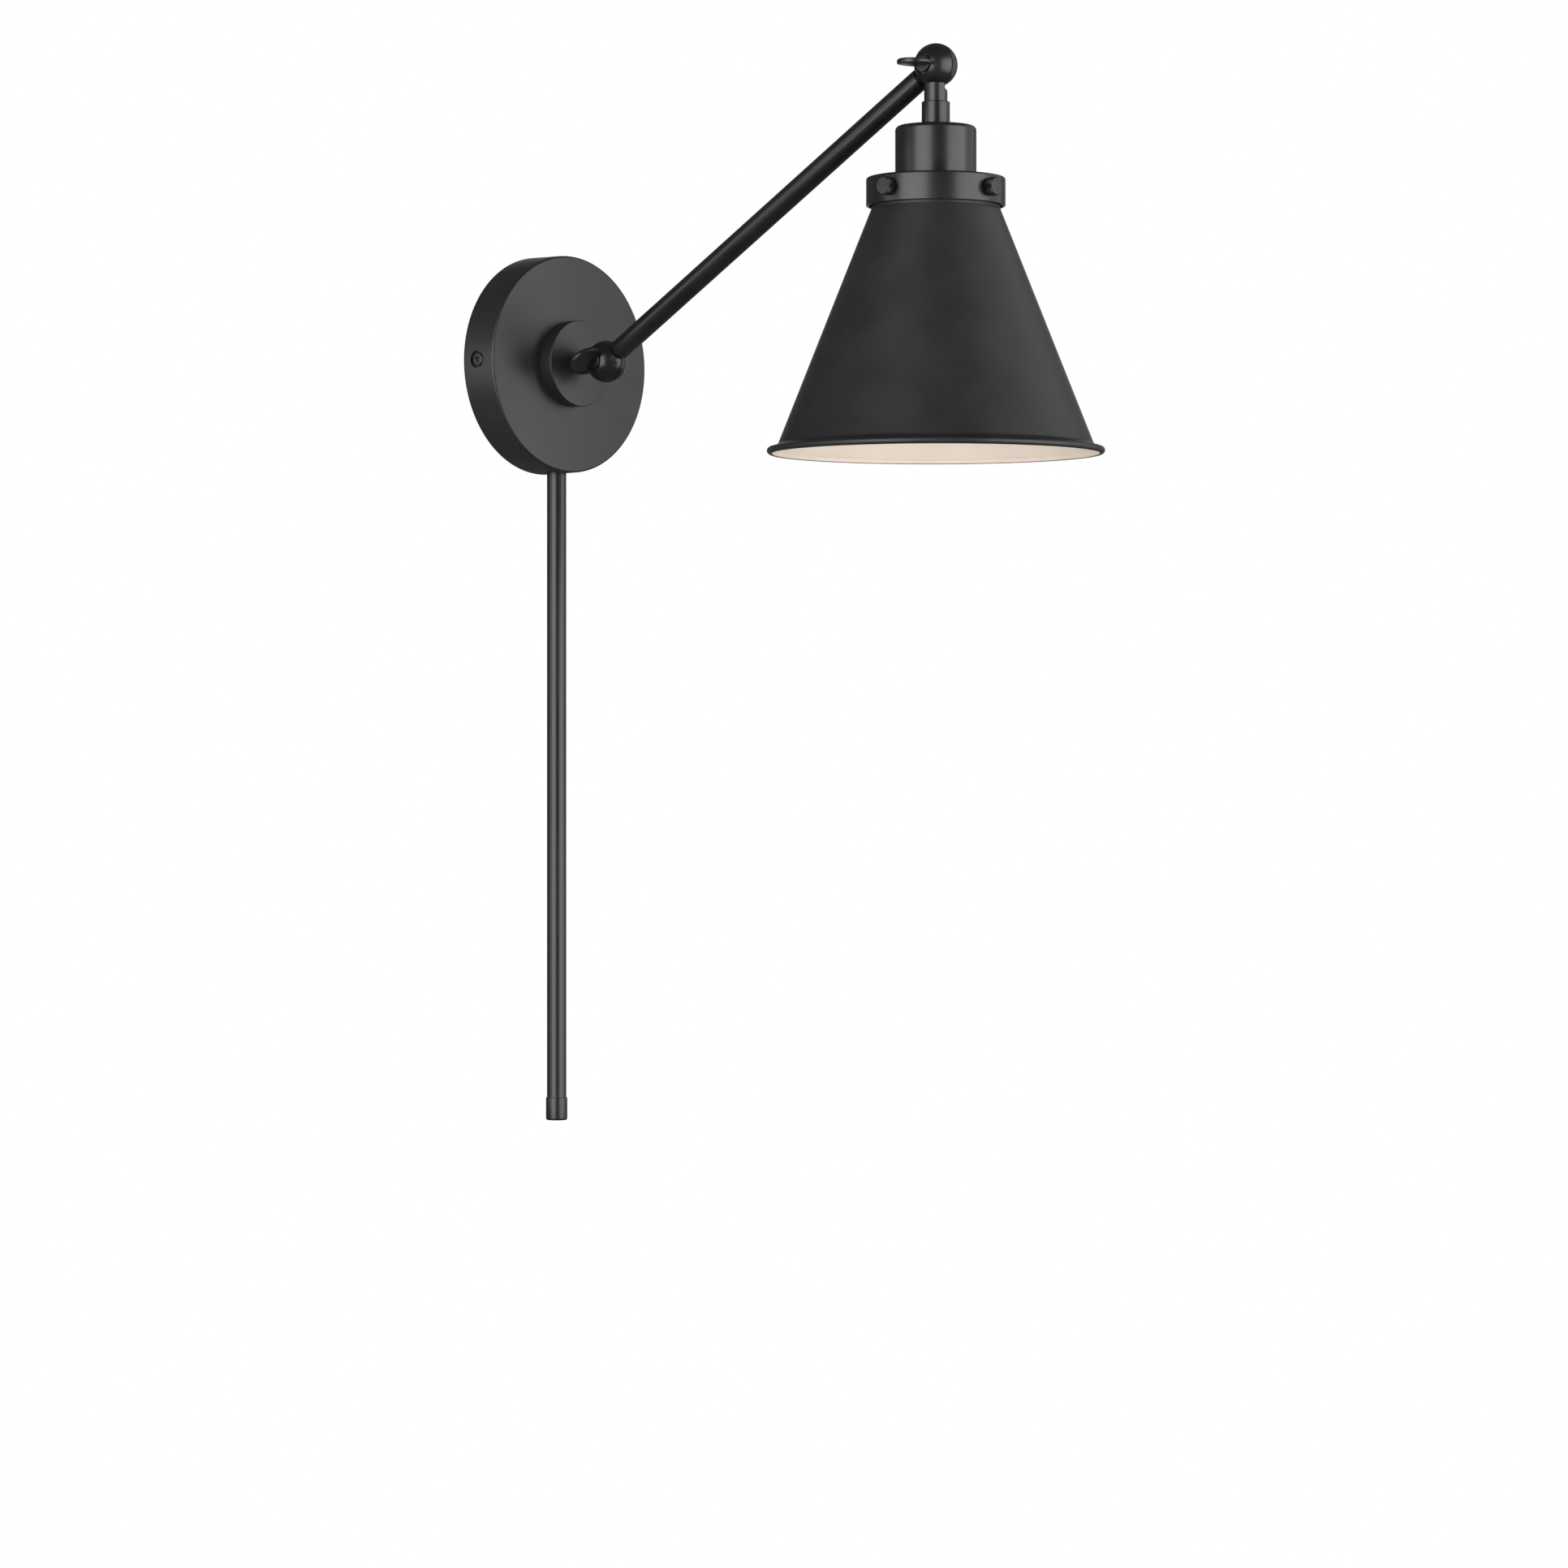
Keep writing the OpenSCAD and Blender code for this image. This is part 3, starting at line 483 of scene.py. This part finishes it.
def tinted(tree, mask, low, high):
    """A colour that goes from low to high across a mask's middle."""
    ramp = add(tree, "ShaderNodeValToRGB", {0: mask})
    for element, place, colour in zip(ramp.color_ramp.elements, (MASK_LOW, MASK_HIGH), (low, high)):
        element.position = place
        element.color = (*colour, 1)
    return ramp.outputs[0]


def raised(tree, shader, height, distance):
    """Feeds a height to the shader's normal."""
    bump = add(tree, "ShaderNodeBump", {"Height": height, "Distance": distance, "Strength": 1.0})
    tree.links.new(bump.outputs[0], shader.inputs["Normal"])


def skin_finish(name, low, high, rough, fine_scale, depth):
    """A sprayed, baked or moulded skin: two near colours, pebbled, with uneven gloss."""
    material, tree, shader, where = new_material(name)
    grain = add(tree, "ShaderNodeGroup", node_tree=GRAIN)
    tree.links.new(where, grain.inputs["Vector"])
    grain.inputs["Fine scale"].default_value = fine_scale
    grain.inputs["Slow scale"].default_value = UNEVEN_SCALE
    uneven = grain.outputs["Unevenness"]
    tree.links.new(tinted(tree, uneven, low, high), shader.inputs["Base Color"])
    tree.links.new(between(tree, uneven, rough[0], rough[1]), shader.inputs["Roughness"])
    raised(tree, shader, grain.outputs["Height"], depth)
    return material


def metal_finish(name, low, high, rough, along, scale, depth):
    """Bare or plated metal with fine lines."""
    material, tree, shader, where = new_material(name)
    lines = add(tree, "ShaderNodeGroup", node_tree=LINES)
    tree.links.new(where, lines.inputs["Vector"])
    lines.inputs["Along"].default_value = along
    lines.inputs["Scale"].default_value = scale
    streaks = lines.outputs["Streaks"]
    tree.links.new(tinted(tree, streaks, low, high), shader.inputs["Base Color"])
    tree.links.new(between(tree, streaks, rough[0], rough[1]), shader.inputs["Roughness"])
    shader.inputs["Metallic"].default_value = 1.0
    raised(tree, shader, lines.outputs["Height"], depth)
    return material


TURNED = turned_tree()
GRAIN = grain_group()
LINES = lines_group()

MATT_COAT = skin_finish(
    "matt_black_coat", (0.010, 0.010, 0.0105), (0.014, 0.014, 0.0145), (0.42, 0.47), 2600, 0.02 * MM)
SATIN_COAT = skin_finish(
    "satin_black_coat", (0.006, 0.006, 0.0062), (0.009, 0.009, 0.0092), (0.28, 0.33), 3200, 0.006 * MM)
PRESSED_COAT = skin_finish(
    "pressed_black_coat", (0.010, 0.010, 0.0103), (0.014, 0.014, 0.0143), (0.37, 0.43), 2800, 0.01 * MM)
# White enamel inside the shade; its warm tint is painted light, standing in for the warm glow of a lit bulb.
ENAMEL_WITH_PAINTED_WARM_LIGHT = skin_finish(
    "white_enamel_with_painted_warm_light", (0.80, 0.70, 0.60), (0.84, 0.74, 0.64), (0.38, 0.46), 1500, 0.01 * MM)
ZINC = metal_finish(
    "zinc_plate", (0.50, 0.51, 0.53), (0.66, 0.66, 0.64), (0.28, 0.44), (1, 14, 14), 160, 0.01 * MM)
BRASS = metal_finish(
    "rolled_brass", (0.74, 0.52, 0.22), (0.86, 0.65, 0.32), (0.22, 0.36), (1, 1, 20), 120, 0.008 * MM)
GREEN = skin_finish(
    "green_lacquer", (0.01, 0.16, 0.05), (0.02, 0.24, 0.08), (0.25, 0.4), 900, 0.01 * MM)
FIBRE = skin_finish(
    "grey_fibre", (0.02, 0.02, 0.02), (0.05, 0.045, 0.04), (0.7, 0.85), 1800, 0.03 * MM)
MOULDED = skin_finish(
    "ivory_moulding", (0.66, 0.61, 0.50), (0.74, 0.69, 0.58), (0.3, 0.42), 1200, 0.01 * MM)
YELLOW = skin_finish(
    "yellow_moulding", (0.72, 0.44, 0.03), (0.80, 0.52, 0.05), (0.35, 0.5), 1100, 0.01 * MM)
INSULATION = skin_finish(
    "white_insulation", (0.62, 0.62, 0.60), (0.72, 0.72, 0.70), (0.35, 0.5), 900, 0.01 * MM)

NODE_FINISH = {
    ZINC: ("mounting_bracket", "hub_lock_nut", "swivel_stop_pin", "tube_lock_nut", "swivel_washer",
           "swivel_nut", "head_nipple", "nipple_nut"),
    BRASS: ("centre_contact",),
    GREEN: ("ground_screw",),
    FIBRE: ("lower_friction_washer", "upper_friction_washer"),
    MOULDED: ("lamp_socket",),
    INSULATION: ("canopy_leads", "arm_leads", "head_leads"),
}


def dress_nodes():
    """Gives each CAD node that stays its finish; all that isn't named is painted."""
    finish_of = {node: finish for finish, nodes in NODE_FINISH.items() for node in nodes}
    for name, node in frame["nodes"].items():
        node.data.materials.clear()
        node.data.materials.append(finish_of.get(name, SATIN_COAT))


# ---------------------------------------------------------------- head

def make_shade():
    """Cone of sheet metal with a collar and a rolled rim, painted black outside and white inside, the white
    tinted warm as painted light of a lit bulb.
    """
    rim_r, top, bottom = depths("shade")
    ring_bottom = depths("shade_ring")[2]
    flange_r = depths("socket_ring_nut")[0] + FLANGE_GAP
    bead = Vector((rim_r - BEAD_R, bottom - BEAD_R))
    cone_top = ring_bottom + CONE_TOP_BELOW_RING
    cone_bottom = bead.y - BEAD_R - CONE_BOTTOM_ABOVE_BEAD
    outside = eased([
        (flange_r, top), (CONE_TOP_R, top, FLANGE_EASE), (CONE_TOP_R, cone_top, CONE_TOP_EASE),
        (CONE_BOTTOM_R, cone_bottom, FLARE_EASE), (bead.x - BEAD_JOIN, bead.y - BEAD_R),
    ], closed=False)
    roll = []
    for i in range(ROLL_STEPS + 1):
        t = ROLL_FROM + (ROLL_TO - ROLL_FROM) * i / ROLL_STEPS
        roll.append(bead + BEAD_R * Vector((math.cos(t), math.sin(t))))
    inside = eased([
        tuple(roll[-1]), (CONE_BOTTOM_R - SHEET, cone_bottom, FLARE_EASE),
        (CONE_TOP_R - SHEET, cone_top + CONE_INNER_DROP, CONE_INNER_EASE),
        (CONE_TOP_R - SHEET, top + SHEET, SHEET),
        (flange_r, top + SHEET), (flange_r, top),
    ], closed=False)[1:]
    outline = outside + roll + inside
    first = len(outside) + ROLL_STEPS_PAINTED
    mesh = turned_mesh(outline, HEAD, MATT_COAT, ENAMEL_WITH_PAINTED_WARM_LIGHT, steps=LARGE_STEPS,
                       inner=range(first, len(outline) - 1))
    piece("painted_shade", mesh, "head", "black_paint", "shade")


def closed_turned(corners, place, finish, **options):
    """A turned piece with a closed outline, given anticlockwise with height upwards."""
    outline = eased(corners)
    return turned_mesh(outline + outline[:1], place, finish, **options)


def make_head():
    """Coupling, cup and ring under the upper ball."""
    r, top, bottom = depths("neck_coupling")
    piece("turned_coupling", closed_turned([
        (NIPPLE_R, top), (r, top, EDGE_EASE), (r, bottom, EDGE_EASE * 0.6), (NIPPLE_R, bottom),
    ], HEAD, SATIN_COAT), "head", "black_paint", "neck_coupling")
    r, top, bottom = depths("socket_cup")
    piece("turned_cup", closed_turned([
        (NIPPLE_R, top), (r, top, CUP_EDGE), (r, bottom), (r - CUP_WALL, bottom),
        (r - CUP_WALL, top + CUP_WALL, CUP_EDGE / 2), (NIPPLE_R, top + CUP_WALL),
    ], HEAD, SATIN_COAT), "head", "black_paint", "socket_cup")
    r, top, bottom = depths("shade_ring")
    hole = depths("lamp_socket")[0] + RING_HOLE_GAP
    piece("turned_ring", closed_turned([
        (hole, top), (r, top, RING_EDGE), (r, bottom, EDGE_EASE), (r - RING_WALL, bottom, SMALL_EASE),
        (r - RING_WALL, top + RING_WALL, 0.5 * MM), (hole, top + RING_WALL),
    ], HEAD, SATIN_COAT), "head", "black_paint", "shade_ring")


def make_knobs():
    """Four knurled knobs with their screws, round the ring."""
    low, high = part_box("shade_knob_1")
    ring_r = depths("shade_ring")[0]
    height = (low.z + high.z) / 2
    back = ring_r + KNOB_STANDOFF
    front = back + KNOB_L
    tip = CONE_TOP_R + KNOB_STANDOFF
    corners = [
        (0, tip), (KNOB_SCREW_R, tip), (KNOB_SCREW_R, back),
        (KNOB_R - KNOB_BEVEL, back), (KNOB_R, back + KNOB_BEVEL), (KNOB_R, front - KNOB_BEVEL),
        (KNOB_R - KNOB_BEVEL, front - KNOB_DOME), (KNOB_R - KNOB_FACE_IN, front), (0, front),
    ]
    for number in range(1, KNOB_COUNT + 1):
        turn = math.pi + (number - 1) * TURN / KNOB_COUNT
        place = (Matrix.Translation((UPPER_BALL.x, UPPER_BALL.y, height)) @ Matrix.Rotation(turn, 4, "Z")
                 @ Matrix.Rotation(math.pi / 2, 4, "Y"))
        mesh = turned_mesh(eased(corners, closed=False), place, SATIN_COAT,
                           steps=KNOB_TEETH * STEPS_PER_TOOTH, Teeth=KNOB_TEETH,
                           Tooth_depth=KNOB_TOOTH, grip=(4, 5))
        piece("knurled_knob_%d" % number, mesh, "knob_%d" % number, "black_paint", "shade_knob_%d" % number)


# ---------------------------------------------------------------- thumbscrews

def paddle_mesh():
    """Oval paddle in the plane of X and Y on the -X side, thickest in the middle, with a round rim."""
    cut = SEAT_X + COLLAR_H - PADDLE_SINK
    half_x, half_y = PADDLE_REACH / 2, PADDLE_LENGTH / 2
    start = math.acos((PADDLE_CENTRE - cut) / half_x)
    arc = [
        (-PADDLE_CENTRE - half_x * math.cos(t), half_y * math.sin(t))
        for t in ((start - math.pi) * (1 - 2 * i / PADDLE_STEPS) for i in range(PADDLE_STEPS + 1))
    ]
    rim = eased([(*arc[0], PADDLE_CORNER), *arc[1:-1], (*arc[-1], PADDLE_CORNER)])
    middle = Vector((-PADDLE_CENTRE + PADDLE_OFF_CENTRE, 0))
    rounding = []
    for k in range(EASE_STEPS + 1):
        t = math.pi / 2 * k / EASE_STEPS
        rounding.append((PADDLE_ROUND * (1 - math.cos(t)), PADDLE_ROUND * (1 - math.sin(t))))
    work = bmesh.new()

    def half_thickness(y):
        return (PADDLE_T - (PADDLE_T - PADDLE_TIP_T) * (y / half_y) ** 2) / 2

    def ring_at(inset, drop, share, side):
        row = []
        for p in rim:
            out = p - middle
            at = middle + out * (share - inset / out.length)
            height = 0.0 if drop is None else half_thickness(at.y) - drop
            row.append(work.verts.new((at.x, at.y, side * height)))
        return row

    waist = ring_at(0, None, 1.0, 1)
    for side in (1, -1):
        rows = [waist] + [ring_at(inset, drop, 1.0, side) for inset, drop in rounding]
        rows += [ring_at(PADDLE_ROUND, 0.0, share, side) for share in PADDLE_ROWS]
        for a, b in zip(rows, rows[1:]):
            for i in range(len(rim)):
                j = (i + 1) % len(rim)
                work.faces.new((a[i], a[j], b[j], b[i]))
        centre = work.verts.new((middle.x, middle.y, side * half_thickness(0)))
        for i in range(len(rim)):
            work.faces.new((rows[-1][i], rows[-1][(i + 1) % len(rim)], centre))
    bmesh.ops.recalc_face_normals(work, faces=work.faces)
    for face in work.faces:
        face.smooth = True
    mesh = bpy.data.meshes.new("paddle")
    work.to_mesh(mesh)
    work.free()
    mesh.materials.append(SATIN_COAT)
    return mesh


def make_thumbscrew(name, ball, turn, body, node):
    """Thumbscrew with its axis on X: shank, collar and paddle."""
    place = Matrix.Translation(ball) @ Matrix.Rotation(-turn, 4, "X")
    along = place @ Matrix.Rotation(-math.pi / 2, 4, "Y")
    stem = turned_mesh(eased([
        (0, -SHANK_IN), (SHANK_R, -SHANK_IN), (SHANK_R, SEAT_X), (COLLAR_R, SEAT_X, SMALL_EASE),
        (COLLAR_R, SEAT_X + COLLAR_H, EDGE_EASE), (0, SEAT_X + COLLAR_H),
    ], closed=False), along, SATIN_COAT, steps=SCREW_STEPS)
    paddle = paddle_mesh()
    paddle.transform(place)
    piece(name, joined(stem, paddle), body, "black_paint", node)


# ---------------------------------------------------------------- wall side and arm

def side_place(side, x):
    """Where a side screw sits: local +Z points out of the canopy along X, from x."""
    return (Matrix.Translation((side * x, -SIDE_SCREW_W, 0))
            @ Matrix.Rotation(side * math.pi / 2, 4, "Y"))


def rod_mesh(radius, length, place, finish, steps=SCREW_STEPS):
    """A plain round bar from the place's origin along its +Z."""
    return turned_mesh([Vector((0, 0)), Vector((radius, 0)), Vector((radius, length)), Vector((0, length))],
                       place, finish, steps=steps)


def make_canopy():
    """Pressed cover with two sunk seats, a hole for the hub and one for the cord tube."""
    low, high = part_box("canopy")
    outer, depth = (high.x - low.x) / 2, -low.y
    front = outer - CANOPY_DRAFT
    back = depth - CANOPY_WALL
    cover = closed_turned([
        (outer - CANOPY_WALL, 0), (outer, 0), (front, depth, CANOPY_EDGE), (HUB_HOLE_R, depth),
        (HUB_HOLE_R, back), (front - CANOPY_WALL, back, CANOPY_INNER_EASE),
    ], WALL, PRESSED_COAT, steps=CANOPY_STEPS)
    rod_low, rod_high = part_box("cord_cover_tube")
    rod_r = (rod_high.x - rod_low.x) / 2
    hole_at = Matrix.Translation((0, (rod_low.y + rod_high.y) / 2, -outer - CUT_CLEAR))
    bosses, cuts = [], [rod_mesh(rod_r + RUN_GAP, 2.5 * CUT_CLEAR, hole_at, PRESSED_COAT)]
    for side in (-1, 1):
        bosses.append(rod_mesh(SEAT_BOSS_R, SIDE_SEAT_DEPTH, side_place(side, SIDE_SEAT_X - CANOPY_WALL),
                               PRESSED_COAT))
        cuts.append(rod_mesh(SIDE_SEAT_R, CUT_CLEAR, side_place(side, SIDE_SEAT_X), PRESSED_COAT))
        cuts.append(rod_mesh(SCREW_HOLE_R, CUT_CLEAR, side_place(side, SIDE_SEAT_X - CUT_CLEAR / 2),
                             PRESSED_COAT))
    piece("pressed_canopy", combined(cover, cuts, bosses), "wall_plate", "black_paint", "canopy")


def cross_arm(turn, place):
    """One tapered arm of a cross recess, cut down from local z = 0."""
    work = bmesh.new()
    corners = []
    for z, length, width in RECESS_ENDS:
        for x, y in ((-1, -1), (1, -1), (1, 1), (-1, 1)):
            corners.append(work.verts.new((x * length * MM, y * width * MM, z * MM)))
    for face in ((0, 1, 2, 3), (7, 6, 5, 4), (0, 4, 5, 1), (1, 5, 6, 2), (2, 6, 7, 3), (3, 7, 4, 0)):
        work.faces.new([corners[i] for i in face])
    bmesh.ops.recalc_face_normals(work, faces=work.faces)
    mesh = bpy.data.meshes.new("cross_arm")
    work.to_mesh(mesh)
    work.free()
    mesh.materials.append(SATIN_COAT)
    mesh.transform(place @ Matrix.Rotation(turn, 4, "Z"))
    return mesh


def make_side_screws():
    """Two side screws with domed edges and tapered cross recesses."""
    screws = []
    for side in (-1, 1):
        base = side_place(side, SIDE_SEAT_X)
        screw = turned_mesh(eased([
            (0, -SIDE_SCREW_L), (SCREW_R, -SIDE_SCREW_L), (SCREW_R, 0), (SCREW_HEAD_R, 0),
            (SCREW_HEAD_R, SCREW_HEAD_H, SCREW_HEAD_EASE), (0, SCREW_HEAD_H),
        ], closed=False), base, SATIN_COAT, steps=SCREW_STEPS)
        top = base @ Matrix.Translation((0, 0, SCREW_HEAD_H))
        screws.append(combined(screw, [cross_arm(RECESS_TURN + t, top) for t in (0, math.pi / 2)]))
    piece("cross_recess_screws", joined(*screws), "wall_plate", "black_paint", "canopy_screws")


def make_hub():
    """Disc on the canopy's face, with a boss behind it."""
    low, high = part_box("hub_disc")
    r, back, front = (high.x - low.x) / 2, -high.y, -low.y
    face = -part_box("canopy")[0].y
    piece("turned_hub", closed_turned([
        (SPIGOT_R, back), (HUB_BOSS_R, back, SMALL_EASE), (HUB_BOSS_R, face), (r, face),
        (r, front, EDGE_EASE), (SPIGOT_R, front),
    ], WALL, PRESSED_COAT, steps=LARGE_STEPS), "wall_plate", "black_paint", "hub_disc")


def make_connectors():
    """Three ribbed twist-on connectors inside the canopy."""
    ribbed = eased([
        (0, 0), (CONNECTOR_TIP_R, 0, CONNECTOR_TIP_EASE), (CONNECTOR_MOUTH_R, CONNECTOR_L - CONNECTOR_LIP),
        (CONNECTOR_MOUTH_R, CONNECTOR_L, CONNECTOR_LIP / 2), (CONNECTOR_TIP_R, CONNECTOR_L),
        (CONNECTOR_TIP_R, CONNECTOR_FLOOR), (0, CONNECTOR_FLOOR),
    ], closed=False)
    made = []
    for angle in CONNECTOR_ANGLES:
        place = (WALL @ Matrix.Rotation(math.radians(angle), 4, "Z")
                 @ Matrix.Translation((CONNECTOR_RING, 0, CONNECTOR_FROM)))
        made.append(turned_mesh(ribbed, place, YELLOW, steps=FINE_STEPS, Teeth=CONNECTOR_RIBS,
                                Tooth_depth=CONNECTOR_RIB, grip=range(EASE_STEPS, EASE_STEPS + 3)))
    piece("ribbed_connectors", joined(*made), "wall_plate", "connector_shell", "wire_connectors")


def make_tubes():
    """Cord cover tube, its end cap and the arm tube."""
    low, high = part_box("cord_cover_tube")
    rod_r = (high.x - low.x) / 2
    floor = low.z
    stand = Matrix.Translation((0, (low.y + high.y) / 2, 0))
    piece("drawn_cord_tube", closed_turned([
        (rod_r - TUBE_WALL, low.z), (rod_r, low.z), (rod_r, high.z, SMALL_EASE), (rod_r - TUBE_WALL, high.z),
    ], stand, SATIN_COAT, steps=FINE_STEPS), "wall_plate", "black_paint", "cord_cover_tube")
    low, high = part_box("tube_end_cap")
    cap_r = (high.x - low.x) / 2
    piece("turned_end_cap", closed_turned([
        (CORD_HOLE_R, low.z, CORD_HOLE_EASE), (cap_r, low.z, CAP_EASE), (cap_r, high.z, SMALL_EASE),
        (rod_r, high.z), (rod_r, floor), (CORD_HOLE_R, floor, CORD_HOLE_EASE),
    ], stand, SATIN_COAT, steps=FINE_STEPS), "wall_plate", "black_paint", "tube_end_cap")
    length = (UPPER_BALL - LOWER_BALL).length
    piece("drawn_arm_tube", closed_turned([
        (ARM_R - TUBE_WALL, TUBE_START), (ARM_R, TUBE_START, SMALL_EASE),
        (ARM_R, length - TUBE_START, SMALL_EASE), (ARM_R - TUBE_WALL, length - TUBE_START),
    ], ARM, SATIN_COAT, steps=FINE_STEPS), "arm", "black_paint", "arm_tube")


def make_socket_parts():
    """Threaded shell of the socket and the ribbed ring nut round it."""
    low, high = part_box("socket_shell")
    outer = (high.x - low.x) / 2
    top, bottom = UPPER_BALL.z - high.z, UPPER_BALL.z - low.z
    rise = [top + (bottom - top) * i / THREAD_STEPS for i in range(THREAD_STEPS + 1)]
    inner = outer - SHELL_T
    outline = [Vector((outer, z)) for z in rise] + [Vector((inner, z)) for z in reversed(rise)]
    outline.append(outline[0])
    row = THREAD_STEPS + 1
    mesh = turned_mesh(outline, HEAD, BRASS, steps=FINE_STEPS,
                       Thread_pitch=THREAD_PITCH, Thread_depth=THREAD_DEPTH,
                       grip=[i for i in range(len(outline)) if i % row not in (0, THREAD_STEPS)])
    piece("rolled_thread_shell", mesh, "head", "contact_brass", "socket_shell")
    r, top, bottom = depths("socket_ring_nut")
    hole = depths("lamp_socket")[0] + THREAD_GAP
    ribbed = eased([(hole, top), (r, top, EDGE_EASE), (r, bottom, EDGE_EASE), (hole, bottom)])
    mesh = turned_mesh(ribbed + ribbed[:1], HEAD, MOULDED, steps=LARGE_STEPS, Teeth=NUT_RIBS,
                       Tooth_depth=NUT_RIB, grip=range(1, 2 * EASE_STEPS + 3))
    piece("ribbed_ring_nut", mesh, "head", "socket_body", "socket_ring_nut")


# ---------------------------------------------------------------- studio

def make_floor():
    """Pale round floor that fades to white at its edge."""
    material, tree, shader, where = new_material("pale_floor")
    cloud = add(tree, "ShaderNodeTexNoise", {"Vector": where, "Scale": 1.5, "Detail": 3.0}).outputs[0]
    tree.links.new(tinted(tree, cloud, (0.78, 0.78, 0.77), (0.84, 0.84, 0.83)), shader.inputs["Base Color"])
    shader.inputs["Roughness"].default_value = 0.8
    away = add(tree, "ShaderNodeVectorMath", {0: where}, operation="LENGTH").outputs["Value"]
    fade = add(tree, "ShaderNodeMapRange", {
        "Value": away, "From Min": FLOOR_FADE[0], "From Max": FLOOR_FADE[1], "To Min": 0.0, "To Max": 1.0,
    }).outputs[0]
    glow = add(tree, "ShaderNodeEmission", {"Color": (1, 1, 1, 1), "Strength": 1.0})
    mix = add(tree, "ShaderNodeMixShader", {0: fade, 1: shader.outputs[0], 2: glow.outputs[0]})
    tree.links.new(mix.outputs[0], tree.nodes["Material Output"].inputs["Surface"])
    work = bmesh.new()
    bmesh.ops.create_circle(work, cap_ends=True, segments=96, radius=FLOOR_R)
    mesh = bpy.data.meshes.new("floor")
    work.to_mesh(mesh)
    work.free()
    mesh.materials.append(material)
    floor = bpy.data.objects.new("floor", mesh)
    floor.location.z = FLOOR_Z
    floor.visible_glossy = False
    bpy.context.scene.collection.objects.link(floor)


def make_studio():
    """White surroundings and soft rectangular lights."""
    world = bpy.data.worlds.new("studio")
    bpy.context.scene.world = world
    world.use_nodes = True
    tree = world.node_tree
    tree.nodes.clear()
    eye = add(tree, "ShaderNodeLightPath").outputs["Is Camera Ray"]
    dim = add(tree, "ShaderNodeBackground", {"Color": (1, 1, 1, 1), "Strength": DIM_LIGHT})
    white = add(tree, "ShaderNodeBackground", {"Color": (1, 1, 1, 1), "Strength": SEEN_WHITE})
    mix = add(tree, "ShaderNodeMixShader", {0: eye, 1: dim.outputs[0], 2: white.outputs[0]})
    out = add(tree, "ShaderNodeOutputWorld")
    tree.links.new(mix.outputs[0], out.inputs[0])
    for name, box in SOFTBOXES.items():
        softbox(name, *box)


def softbox(name, turn, rise, width, height, radiance):
    """A soft rectangular light that faces the lamp."""
    data = bpy.data.lights.new(name, "AREA")
    data.shape = "RECTANGLE"
    data.size = width
    data.size_y = height
    data.energy = radiance * math.pi * width * height
    light = bpy.data.objects.new(name, data)
    around = CAMERA_TURN + math.radians(turn)
    flat = math.cos(math.radians(rise))
    offset = Vector((math.sin(around) * flat, -math.cos(around) * flat, math.sin(math.radians(rise))))
    light.location = (LOWER_BALL + UPPER_BALL) / 2 + offset * BOX_DISTANCE
    light.rotation_euler = offset.to_track_quat("Z", "Y").to_euler()
    light.visible_camera = False
    bpy.context.scene.collection.objects.link(light)


def make_camera():
    """Level camera on the lamp's left front."""
    data = bpy.data.cameras.new("camera")
    data.lens = CAMERA_LENS
    data.sensor_width = 36
    data.shift_y = CAMERA_SHIFT_UP
    camera = bpy.data.objects.new("camera", data)
    camera.location = CAMERA_AT
    camera.rotation_euler = (math.pi / 2, 0, CAMERA_TURN)
    bpy.context.scene.collection.objects.link(camera)
    bpy.context.scene.camera = camera


make_camera()
make_studio()
make_floor()
bpy.context.scene.view_settings.view_transform = "Standard"
dress_nodes()
make_shade()
make_head()
make_knobs()
make_thumbscrew("upper_wing_screw", UPPER_BALL, 0, "upper_screw", "upper_thumbscrew")
make_thumbscrew("lower_wing_screw", LOWER_BALL, LOWER_PADDLE_TURN, "lower_screw", "lower_thumbscrew")
make_tubes()
make_canopy()
make_side_screws()
make_hub()
make_connectors()
make_socket_parts()
